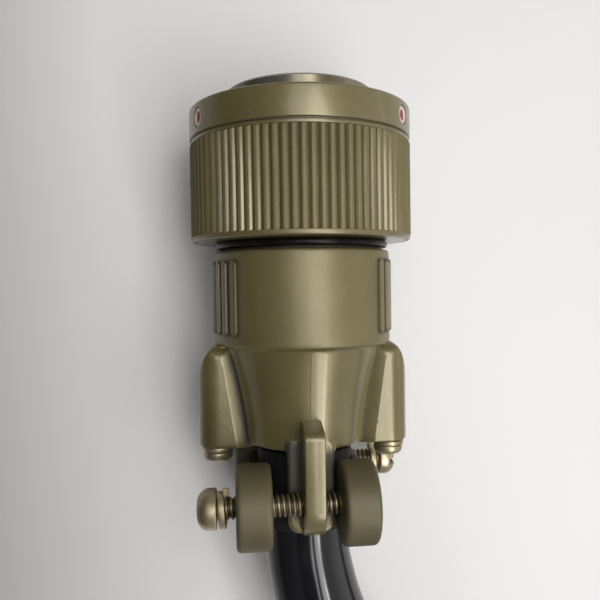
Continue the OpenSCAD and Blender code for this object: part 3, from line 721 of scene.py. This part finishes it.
def soften(piece, width, segments):
    """Rounds the sharp edges of a piece by a width in millimetres."""
    change(
        piece, "BEVEL", width=width * MM, segments=segments, limit_method="ANGLE",
        angle_limit=math.radians(SHARP_DEG),
    )


def as_cast(piece, voxel, rounds):
    """Rounds edges and corners as a casting's are."""
    change(piece, "REMESH", mode="VOXEL", voxel_size=voxel * MM)
    change(piece, "SMOOTH", factor=0.5, iterations=rounds)


def join(piece, *others):
    """Makes one piece of several."""
    take(piece)
    for other in others:
        other.select_set(True)
    bpy.ops.object.join()
    return piece


def spread(piece, count, step_deg):
    """Copies all of a mesh round the Y axis, count in all."""
    edit(piece)
    whole = math.radians(step_deg * (count - 1))
    bpy.ops.mesh.spin(steps=count - 1, dupli=True, angle=whole, center=(0, 0, 0), axis=(0, -1, 0))
    bpy.ops.object.mode_set(mode="OBJECT")
    return piece


def box(name, low, high):
    """A block between two corners in millimetres."""
    free_hands()
    bpy.ops.mesh.primitive_cube_add(size=1, location=(0, 0, 0))
    block = bpy.context.object
    name_piece(block, name)
    low, high = Vector(low) * MM, Vector(high) * MM
    edit(block)
    bpy.ops.transform.resize(value=high - low)
    bpy.ops.transform.translate(value=(low + high) / 2)
    bpy.ops.object.mode_set(mode="OBJECT")
    return block


def bar(name, radius, low, high, steps=64):
    """A round bar along the Y axis, in millimetres."""
    return lathe(name, [(0, low, 0), (radius, low, 0), (radius, high, 0), (0, high, 0)], steps)


def solid_copy(node_name, name):
    """A merged copy of a CAD solid, without its plain colours."""
    free_hands()
    copy = bpy.data.objects.new(name, NODES[node_name].data.copy())
    bpy.context.scene.collection.objects.link(copy)
    name_piece(copy, name)
    copy.data.materials.clear()
    return close_up(copy)


def finish_piece(piece, body, slot, nodes, *materials, smooth_deg=35):
    """Gives a piece its finish and its place among the bodies."""
    take(piece)
    for material in materials:
        piece.data.materials.append(material)
    bpy.ops.object.shade_smooth_by_angle(angle=math.radians(smooth_deg))
    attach(piece, body)
    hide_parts(*nodes)
    return piece


def bell_flare(steps=24):
    """Points down the bell's flared outline: a large circle through its two ends."""
    top, end = Vector(BELL_TOP), Vector(BELL_END)
    half = (end - top) / 2
    away = Vector((-half.y, half.x)).normalized()
    middle = (top + end) / 2 + away * math.sqrt(BELL_FLARE_R ** 2 - half.length_squared)
    first, last = top - middle, end - middle
    points = []
    for step in range(steps + 1):
        part = step / steps
        points.append(middle + (first * (1 - part) + last * part).normalized() * BELL_FLARE_R)
    return points


def pan_screw(name, radius, length, head_r, head_h, slot_deep, slot_turn):
    """A slotted pan-head screw: head above the origin along +Y, thread below."""
    head = lathe(name, [
        (0, -0.3, 0), (radius, -0.3, 0), (radius, 0, 0.1), (head_r, 0, 0.25),
        (head_r, head_h, head_h * 0.62), (0, head_h, 0),
    ], 64)
    slot_w = slot_deep * 0.5
    slot = box("slot", (-head_r - 1, head_h - slot_deep, -slot_w), (head_r + 1, head_h + 1, slot_w))
    cut(head, move(slot, slot_turn))
    depth = THREAD_PITCH * 0.48
    flat = THREAD_PITCH * 0.12
    slope = THREAD_PITCH / 2 - flat
    root = radius - depth
    turns = int((length - 0.8) / THREAD_PITCH)
    bottom = -0.1 - turns * THREAD_PITCH
    ridge = [
        (root, bottom, 0), (root, bottom + flat, 0), (radius, bottom + flat + slope, 0),
        (radius, bottom + 2 * flat + slope, 0), (root, bottom + THREAD_PITCH, 0),
    ]
    thread = sketch("thread", ridge)
    change(
        thread, "SCREW", axis="Y", angle=2 * math.pi, screw_offset=THREAD_PITCH * MM, iterations=turns,
        steps=28, render_steps=28, use_merge_vertices=True, merge_threshold=MERGE,
    )
    cap_ends(thread)
    core = lathe("core", [(0, -length, 0), (root, -length, 0.3), (root + 0.05, 0, 0), (0, 0, 0)], 48)
    return join(head, thread, core)


def split_washer(name, bore, radius, thick, rise):
    """A lock washer of one rising turn with its split open, from the origin up along Y."""
    edge = 0.14
    corners = [(bore, 0, edge), (radius, 0, edge), (radius, thick, edge), (bore, thick, edge)]
    washer = section(name, corners, 3)
    change(
        washer, "SCREW", axis="Y", angle=math.radians(WASHER_TURN), screw_offset=rise * MM, iterations=1,
        steps=48, render_steps=48,
    )
    return cap_ends(washer)


def dress(node_name, material):
    """Gives a CAD node a finish in place of its plain colours."""
    slots = NODES[node_name].data.materials
    slots.clear()
    slots.append(material)


class PLUG_OT_stage(bpy.types.Operator):
    """Lays the table, hangs the lights and sets the camera"""

    bl_idname = "plug.stage"
    bl_label = "Stage"

    def execute(self, context):
        stage = plug().stage
        free_hands()
        floor_z = CAD_BOX[0][2]
        bpy.ops.mesh.primitive_plane_add(size=6, location=(0, 0, 0))
        table = bpy.context.object
        name_piece(table, "table")
        bpy.ops.object.mode_set(mode="EDIT")
        bpy.ops.transform.translate(value=(0, 0, floor_z))
        bpy.ops.object.mode_set(mode="OBJECT")
        table.data.materials.append(table_top())
        panels = (
            ("main_panel", (0.105, -0.15, 0.30), (0.15, 0.56), stage.panel_power, 12),
            ("thin_panel", (0.17, -0.22, 0.285), (0.03, 0.17), stage.thin_power, 12),
            ("fill_panel", (-0.02, 0.03, 0.30), (0.14, 0.26), stage.fill_power, 0),
        )
        for name, place, size, power, turn_deg in panels:
            self.add_panel(name, place, size, power, turn_deg)
        self.add_card()
        self.add_room(context, stage)
        context.scene.view_settings.view_transform = "Standard"
        self.add_camera(context, stage)
        return {"FINISHED"}

    def add_card(self):
        """A dark card over the left half, out of the camera's sight, that keeps light off that side."""
        card = box("dark_card", (-66, -190, 113), (13, -105, 114))
        top = box("card_top", (-13, -105, 113), (3, -52, 114))
        edge = box("card_edge", (20, -125, 113), (34, -60, 114))
        join(card, top, edge)
        card.data.materials.append(moulded("dark_card", plug().colours.card, rough=0.5, grain=900))
        card.visible_camera = False

    def add_room(self, context, stage):
        """A dim room that is lighter on the right."""
        world = bpy.data.worlds.new("room")
        world.use_nodes = True
        sheet = NodeSheet(world.node_tree)
        place = sheet.node("TexCoord", output="Generated")
        side = sheet.node("SeparateXYZ", None, {0: place}) * 0.5 + 0.5
        stops = []
        for at, light in zip(stage.room_side, stage.room_light):
            stops.append((at, (light, light * 0.985, light * 0.97)))
        tone = sheet.node("ValToRGB", {"stops": stops}, {0: side})
        sheet.put(world.node_tree.nodes["Background"].inputs["Color"], tone)
        context.scene.world = world

    def add_panel(self, name, place, size, power, turn_deg):
        """A soft panel that points straight down."""
        bpy.ops.object.light_add(type="AREA", location=place)
        lamp = bpy.context.object
        lamp.name = name
        lamp.data.shape = "ELLIPSE"
        lamp.data.size, lamp.data.size_y = size
        lamp.data.energy = power
        aim = Vector((0, 0, -1))
        turned = aim.to_track_quat("-Z", "Y").to_matrix() @ Matrix.Rotation(math.radians(turn_deg), 3, "Z")
        lamp.rotation_euler = turned.to_euler()

    def add_camera(self, context, stage):
        """A camera above the plug, leaned, tipped and turned a little."""
        back = Vector((-math.sin(stage.lean), 0, math.cos(stage.lean)))
        up = AXIS.copy()
        right = up.cross(back)
        foot = Vector((0, stage.foot_y, 0)) - right * stage.aside
        eye = foot + back * stage.eye_height
        tip = Matrix.Rotation(-stage.pitch, 3, right)
        back, up = tip @ back, tip @ up
        roll = Matrix.Rotation(-stage.turn, 3, back)
        up, right = roll @ up, roll @ right
        bpy.ops.object.camera_add(location=eye)
        camera = bpy.context.object
        camera.name = "camera"
        turned = Matrix((right, up, back)).transposed()
        camera.matrix_world = Matrix.Translation(eye) @ turned.to_4x4()
        camera.data.sensor_width = 36
        camera.data.lens = stage.lens
        camera.data.clip_start = 0.005
        context.scene.camera = camera


class PLUG_OT_nut(bpy.types.Operator):
    """Makes the knurled coupling nut and its bayonet pins"""

    bl_idname = "plug.nut"
    bl_label = "Coupling nut"

    def execute(self, context):
        nut = lathe("nut_body", NUT_OUTLINE, 328, closed=True)
        for angle in PIN_ANGLES:
            hole = bar("pin_hole", radius=1.53, low=15.5, high=19.5)
            cut(nut, self.aim(hole, angle))
        join(nut, self.ribs())
        finish_piece(nut, "nut", "olive_paint", ["coupling_nut"], turned_olive())
        colours = plug().colours
        looks = plated_screw(), paint("mark_pale", colours.pin_pale), paint("mark_red", colours.pin_red)
        for i, angle in enumerate(PIN_ANGLES):
            pin = lathe(f"pin_{i + 1}", PIN_OUTLINE, 64)
            slit = box("slit", (-0.75, 17.6, -0.13), (0.35, 19, 0.13))
            cut(pin, move(slit, 35))
            self.paint_rings(pin, looks)
            self.aim(pin, angle)
            finish_piece(pin, "nut", "pin_steel", [f"bayonet_pin_{i + 1}"])
        return {"FINISHED"}

    def aim(self, piece, angle):
        """Turns a piece that stands along +Y to point out of the band at an angle from the front."""
        move(piece, 90, "X", (0, PIN_Y, 0))
        return move(piece, angle, "Y")

    def paint_rings(self, pin, looks):
        """Plating all over, a pale ring in the end and a red middle."""
        for material in looks:
            pin.data.materials.append(material)
        for face in pin.data.polygons:
            away = Vector((face.center.x, face.center.z)).length / MM
            if face.center.y < PIN_PAINT_FROM * MM or away > PIN_PALE_R:
                continue
            face.material_index = 1 if away > PIN_RED_R else 2

    def ribs(self):
        """The knurl: one rib with sloped ends, copied round the nut."""
        line = [(x, FRONT_END, z) for x, z in RIB_HALF]
        line += [(-x, FRONT_END, z) for x, z in reversed(RIB_HALF)]
        rib = slab("rib", line, (0, RIB_END - FRONT_END, 0))
        for near, slope in ((FRONT_END, -0.25), (RIB_END, 0.35)):
            edit(rib)
            bpy.ops.mesh.select_all(action="DESELECT")
            bpy.ops.object.mode_set(mode="OBJECT")
            for vertex in rib.data.vertices:
                off = abs(vertex.co.y - near * MM)
                vertex.select = vertex.co.z > (NUT_R - 0.09) * MM and off < 0.1 * MM
            bpy.ops.object.mode_set(mode="EDIT")
            bpy.ops.transform.translate(value=(0, slope * MM, 0))
        edit(rib)
        bpy.ops.mesh.bevel(offset=0.08 * MM, segments=2, affect="EDGES")
        close_up(rib)
        return spread(rib, RIBS, 360 / RIBS)


class PLUG_OT_spring(bpy.types.Operator):
    """Makes the wave spring with softened edges"""

    bl_idname = "plug.spring"
    bl_label = "Wave spring"

    def execute(self, context):
        spring = solid_copy("wave_spring", "spring")
        soften(spring, width=0.05, segments=2)
        finish_piece(spring, "shell", "spring_steel", ["wave_spring"], spring_steel())
        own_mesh(spring)
        return {"FINISHED"}


class PLUG_OT_ring(bpy.types.Operator):
    """Makes the round-edged split ring that holds the nut"""

    bl_idname = "plug.ring"
    bl_label = "Retaining ring"

    def execute(self, context):
        low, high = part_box("retaining_ring")
        outside, front, back = high.x / MM, high.y / MM, low.y / MM
        ring = section("ring", [
            (RING_BORE, front, 0.1), (outside, front, 0.55), (outside, back, 0.55), (RING_BORE, back, 0.1),
        ])
        bpy.ops.mesh.spin(steps=120, angle=math.radians(360 - RING_SPLIT), center=(0, 0, 0), axis=(0, 1, 0))
        close_up(ring)
        move(ring, 90 - RING_SPLIT / 2)
        finish_piece(ring, "shell", "shell_finish", ["retaining_ring"], dark_ring())
        return {"FINISHED"}


class PLUG_OT_endbell(bpy.types.Operator):
    """Makes the cast endbell with bosses, lugs and grip ribs"""

    bl_idname = "plug.endbell"
    bl_label = "Endbell"

    def execute(self, context):
        flare = bell_flare()
        top_r, top_y = BELL_TOP
        outline = [(0, BARREL_FRONT, 0), (BARREL_R, BARREL_FRONT, 0.3), (BARREL_R, top_y, 0.6)]
        outline += [(top_r + 0.02, top_y, 0), *[(x, y, 0) for x, y in flare], (0, BELL_END[1], 0)]
        bell = lathe("bell_body", outline, 192)
        parts = []
        for side in (0, 180):
            parts.append(move(self.boss(), side))
            parts.append(move(self.flange(), side))
        join(bell, *parts)
        as_cast(bell, voxel=0.26, rounds=9)
        for side in (0, 180):
            for up in (1, -1):
                cut(bell, move(self.valley(flare, up), side))
        cut(bell, lathe("room", BELL_ROOM, 128))
        for side in (0, 180):
            hole = move(bar("boss_hole", radius=1.475, low=-60, high=-47.9), shift=(BOSS_AXIS, 0, 0))
            cut(bell, move(hole, side))
        for side in (0, 180):
            hole = bar("lug_hole", radius=2.05, low=-6, high=6)
            blade = cut(self.blade(), move(hole, 90, "Z", (0, CLAMP_Y, CLAMP_Z)))
            join(bell, move(blade, side), move(self.grip(), side), move(self.parting_line(flare), side))
        # Large faces are split evenly, so that every run shades them the same
        change(bell, "TRIANGULATE", ngon_method="BEAUTY", min_vertices=5)
        cast = cast_olive("cast_olive", rough=0.3, coat=0.35, darkened=0.0)
        finish_piece(bell, "shell", "olive_paint", ["endbell"], cast)
        return {"FINISHED"}

    def boss(self):
        """A block with a flat front, a round outer side and a domed top."""
        half, side_r = BOSS_HALF, BOSS_HALF - 0.02
        plan = [(BOSS_IN, -half, 0), (BOSS_OUT, -half, side_r), (BOSS_OUT, half, side_r), (BOSS_IN, half, 0)]
        line = [(x, BOSS_END, z) for x, z in round_off(plan, 12)]
        block = slab("boss", line, (0, BOSS_TOP - BOSS_END, 0))
        wide, high = BOSS_DOME
        middle_x, middle_y = BOSS_OUT - wide, BOSS_TOP - high
        steps = [math.radians(turn) for turn in range(0, 91, 6)]
        dome = [(middle_x + wide * math.sin(turn), middle_y + high * math.cos(turn), -6) for turn in steps]
        front = [(7, BOSS_TOP, -6), *dome, (BOSS_OUT, -60, -6), (7, -60, -6)]
        cut(block, slab("front", front, (0, 0, 12)), "INTERSECT")
        wide = half + 0.1
        side = [(BOSS_TOP, -wide, 3), (BOSS_TOP, wide, 3), (-60, wide, 0), (-60, -wide, 0)]
        line = [(7, y, z) for y, z in round_off(side, 8)]
        return cut(block, slab("side", line, (12, 0, 0)), "INTERSECT")

    def valley(self, flare, up):
        """What is cut away between a boss's front and the bell."""
        near, far = 8.25, 14.25
        line = [(far, BOSS_HALF * up), (near, 0.3 * up), (near, 6 * up), (far, 6 * up)]
        wedge = slab("wedge", [(x, -41, z) for x, z in line], (-2.83, -19, 0))
        core_r = BARREL_R + 0.05
        core = [(0, -40, 0), (core_r, -40, 0), (core_r, BELL_TOP[1] - 0.05, 0)]
        core += [(x + 0.02, y, 0) for x, y in flare] + [(0, BELL_END[1], 0)]
        return cut(wedge, lathe("core", core, 192))

    def blade(self):
        """The upright web of a clamp lug, round at its nose."""
        line = [(-LUG_THICK / 2, y, z) for z, y in round_off(LUG_OUTLINE, 8)]
        blade = slab("blade", line, (LUG_THICK, 0, 0))
        soften(blade, width=0.3, segments=3)
        return blade

    def flange(self):
        """The flat tongue under a clamp lug."""
        corners = [(-3.75, -56.8, 0.5), (3.75, -56.8, 0.5), (3.75, -71.2, 2.0), (-3.75, -71.2, 2.0)]
        line = [(x, y, 8.7) for x, y in round_off(corners, 8)]
        return slab("flange", line, (0, 0, 1.4))

    def grip(self):
        """A row of round-ended grip ribs on the barrel's side."""
        corners = [(-0.7, -28.05, 0.69), (0.7, -28.05, 0.69), (0.7, -39.75, 0.69), (-0.7, -39.75, 0.69)]
        sunk = BARREL_R - 0.2
        rib = slab("grip", [(x, y, sunk) for x, y in round_off(corners)], (0, 0, GRIP_TOP - sunk))
        edit(rib)
        bpy.ops.mesh.select_all(action="DESELECT")
        bpy.ops.object.mode_set(mode="OBJECT")
        for edge in rib.data.edges:
            edge.select = all(rib.data.vertices[i].co.z > (GRIP_TOP - 0.03) * MM for i in edge.vertices)
        bpy.ops.object.mode_set(mode="EDIT")
        bpy.ops.mesh.bevel(offset=0.14 * MM, segments=2, affect="EDGES")
        close_up(rib)
        move(rib, 90 - GRIP_STEP * (GRIPS - 1) / 2)
        return spread(rib, GRIPS, GRIP_STEP)

    def parting_line(self, flare):
        """The thin fin that the mould leaves down the bell."""
        proud = [(0, y, x + 0.14) for x, y in flare[1:20]]
        sunk = [(0, y, x - 0.4) for x, y in reversed(flare[1:20])]
        fin = slab("parting_line", proud + sunk, (0.24, 0, 0))
        return move(fin, shift=(-0.12, 0, 0))


class PLUG_OT_clamp(bpy.types.Operator):
    """Makes the two saddles, their cross screws and lock washers"""

    bl_idname = "plug.clamp"
    bl_label = "Cable clamp"

    def execute(self, context):
        cast = cast_olive("matt_olive", rough=0.55, coat=0.03, darkened=0.46)
        plated = plated_screw()
        for side in ("left", "right"):
            saddle = solid_copy(f"clamp_saddle_{side}", f"saddle_{side}")
            as_cast(saddle, voxel=0.18, rounds=5)
            finish_piece(saddle, f"saddle_{side}", "olive_paint", [f"clamp_saddle_{side}"], cast)
        for end, slot_turn in (("front", 12), ("rear", 96)):
            low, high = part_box(f"clamp_screw_{end}")
            reach = max(-low.x, high.x) / MM - CLAMP_HEAD
            length = (high.x - low.x) / MM - CLAMP_HEAD
            screw = pan_screw(
                f"screw_{end}", radius=1.75, length=length, head_r=3.1, head_h=CLAMP_HEAD, slot_deep=1.2,
                slot_turn=slot_turn,
            )
            washer = split_washer(f"washer_{end}", bore=1.85, radius=3.0, thick=1.0, rise=0.9)
            move(washer, shift=(0, -1.92, 0))
            for piece, node in ((screw, "screw"), (washer, "washer")):
                move(piece, 90, "Z", (-reach, CLAMP_Y, CLAMP_Z))
                if end == "rear":
                    move(piece, 180, "Y")
                finish_piece(piece, f"screw_{end}", "screw_steel", [f"clamp_{node}_{end}"], plated)
        return {"FINISHED"}


class PLUG_OT_boss_screws(bpy.types.Operator):
    """Makes the screws and lock washers under the bosses"""

    bl_idname = "plug.boss_screws"
    bl_label = "Boss screws"

    def execute(self, context):
        plated = plated_screw()
        for side, turn in (("right", 0), ("left", 180)):
            screw = pan_screw(
                f"boss_screw_{side}_piece", radius=1.42, length=11, head_r=2.45, head_h=1.6, slot_deep=0.7,
                slot_turn=35,
            )
            washer = split_washer(f"boss_washer_{side}_piece", bore=1.52, radius=2.7, thick=0.75, rise=0.2)
            move(washer, shift=(0, -0.97, 0))
            for piece, node in ((screw, "screw"), (washer, "washer")):
                move(piece, 180, "Z", (BOSS_AXIS, BOSS_SCREW_Y, 0))
                move(piece, turn, "Y")
                finish_piece(piece, "shell", "screw_steel", [f"boss_{node}_{side}"], plated)
        return {"FINISHED"}


class PLUG_OT_cable(bpy.types.Operator):
    """Makes the cable, its bushing and its stripped leads"""

    bl_idname = "plug.cable"
    bl_label = "Cable"

    def execute(self, context):
        sizes = plug().sizes
        rubber = moulded("bushing_rubber", plug().colours.rubber, rough=0.5, grain=1800)
        bushing = lathe("bushing", SLEEVE_OUTLINE, closed=True)
        finish_piece(bushing, "shell", "black_rubber", ["cable_bushing"], rubber)
        leads = self.leads()
        route = [Vector(point) * MM for point in ROUTE_MM]
        cable = self.sheath(context, route, sizes.cable_r)
        finish_piece(cable, "shell", "cable_sheath", ["cable_jacket"], cable_sheath())
        return {"FINISHED"}

    def sheath(self, context, route, radius):
        """A round tube along the route, a little thicker or thinner in places."""
        line = bpy.data.curves.new("cable", "CURVE")
        line.dimensions = "3D"
        line.bevel_depth = radius
        line.bevel_resolution = 14
        line.resolution_u = 8
        line.use_fill_caps = True
        spline = line.splines.new("BEZIER")
        spline.bezier_points.add(len(route) - 1)
        for i, (point, place) in enumerate(zip(spline.bezier_points, route)):
            point.co = place
            point.radius = CABLE_SWELL.get(i, 1.0)
            point.handle_left_type = point.handle_right_type = "AUTO"
        cable = bpy.data.objects.new("cable", line)
        context.scene.collection.objects.link(cable)
        take(cable)
        bpy.ops.object.convert(target="MESH")
        cable = bpy.context.object
        name_piece(cable, "cable")
        return close_up(cable)

    def length_of(self, route):
        return round(sum((b - a).length for a, b in zip(route, route[1:])), 3)

    def leads(self):
        """Cores that leave the jacket's cut end, each with a twisted bare tip."""
        made = []
        strands = tinned_strand()
        for i, (letter, colour) in enumerate(zip(WIRE_LETTERS, CORE_COLOURS)):
            turn = (LEAD_LENGTH + LEAD_LONGER * (i % 3)) / LEAD_BEND
            lead = self.arc(f"lead_{letter}", turn)
            tip = self.tip(f"tip_{letter}", turn)
            spot = Vector((LEAD_RING, 0, 0)) if i < 6 else Vector((0, 0, 0))
            for piece in (lead, tip):
                move(piece, shift=spot)
                move(piece, -30 - 60 * i if i < 6 else 0, "Y", CABLE_END)
            insulation = core_insulation(f"core_{letter}", colour)
            finish_piece(lead, "shell", "wire_insulation", ["free_leads"], insulation)
            finish_piece(tip, "shell", "tinned_copper", ["lead_tips"], strands)
            made += [lead, tip]
        return made

    def disc(self, name, vertices, radius):
        """A filled circle about the Y axis."""
        free_hands()
        bpy.ops.mesh.primitive_circle_add(
            vertices=vertices, radius=radius, fill_type="NGON", location=(0, 0, 0),
            rotation=(math.pi / 2, 0, 0),
        )
        piece = bpy.context.object
        name_piece(piece, name)
        bpy.ops.object.transform_apply(location=False, rotation=True, scale=False)
        return piece

    def arc(self, name, turn):
        """A core that bends slightly to the side."""
        piece = self.disc(name, vertices=20, radius=plug().sizes.core_r)
        edit(piece)
        bpy.ops.mesh.spin(steps=14, angle=turn, center=(LEAD_BEND * MM, 0, 0), axis=(0, 0, 1))
        return close_up(piece)

    def tip(self, name, turn):
        """Seven strands twisted together, at the end of a core's bend."""
        piece = self.disc(name, vertices=10, radius=plug().sizes.strand_r)
        ring = move(twin(piece, "strand"), shift=(STRAND_RING, 0, 0))
        join(piece, spread(ring, 6, 60))
        edit(piece)
        for step in range(TIP_STEPS):
            bpy.ops.mesh.extrude_region_move(TRANSFORM_OT_translate={"value": (0, TIP_STEP * MM, 0)})
            bpy.ops.transform.rotate(
                value=TIP_TWIST, orient_axis="Y", orient_type="GLOBAL",
                center_override=(0, TIP_STEP * (step + 1) * MM, 0),
            )
        close_up(piece)
        move(piece, shift=(-LEAD_BEND, 0, 0))
        return move(piece, -math.degrees(turn), "Z", (LEAD_BEND, 0, 0))


class PLUG_OT_finishes(bpy.types.Operator):
    """Gives every CAD node that stays visible its finish"""

    bl_idname = "plug.finishes"
    bl_label = "Finishes"

    def execute(self, context):
        colours = plug().colours
        gloss, steel, gold = gloss_shell(), spring_steel(), gold_contact()
        rubber = moulded("black_rubber", colours.rubber, rough=0.55, grain=1800)
        insert = moulded("insert_rubber", colours.insert, rough=0.5, grain=1500)
        nylon = moulded("nylon", colours.nylon, rough=0.45, grain=1400)
        looks = {
            "plug_shell": gloss, "front_insert": insert, "rear_grommet": rubber,
            "grommet_ferrule": nylon, "face_seal": rubber, "endbell_gasket": rubber, "thrust_washer": steel,
        }
        for letter, colour in zip(WIRE_LETTERS, CORE_COLOURS):
            looks[f"socket_contact_{letter}"] = gold
            looks[f"core_wire_{letter}"] = core_insulation(f"inner_core_{letter}", colour)
        for node_name, material in looks.items():
            dress(node_name, material)
        return {"FINISHED"}


OPERATORS = (
    PLUG_OT_stage, PLUG_OT_cable, PLUG_OT_nut, PLUG_OT_spring, PLUG_OT_ring, PLUG_OT_endbell, PLUG_OT_clamp,
    PLUG_OT_boss_screws, PLUG_OT_finishes,
)


class PlugSettings(bpy.types.PropertyGroup):
    """All that a user would change"""

    sizes: PointerProperty(type=PlugSizes)
    colours: PointerProperty(type=PlugColours)
    stage: PointerProperty(type=PlugStage)


class PLUG_PT_panel(bpy.types.Panel):
    """Lists the steps that dress the plug"""

    bl_idname = "PLUG_PT_panel"
    bl_label = "Bayonet plug"
    bl_space_type = "VIEW_3D"
    bl_region_type = "UI"
    bl_category = "Plug"

    def draw(self, context):
        for operator in OPERATORS:
            self.layout.operator(operator.bl_idname)


CLASSES = (PlugSizes, PlugColours, PlugStage, PlugSettings, *OPERATORS, PLUG_PT_panel)


def register():
    for one in CLASSES:
        bpy.utils.register_class(one)
    bpy.types.Scene.plug = PointerProperty(type=PlugSettings)


def unregister():
    del bpy.types.Scene.plug
    for one in reversed(CLASSES):
        bpy.utils.unregister_class(one)


def main():
    register()
    for operator in OPERATORS:
        group, step = operator.bl_idname.split(".")
        getattr(getattr(bpy.ops, group), step)()


if __name__ == "__main__":
    main()
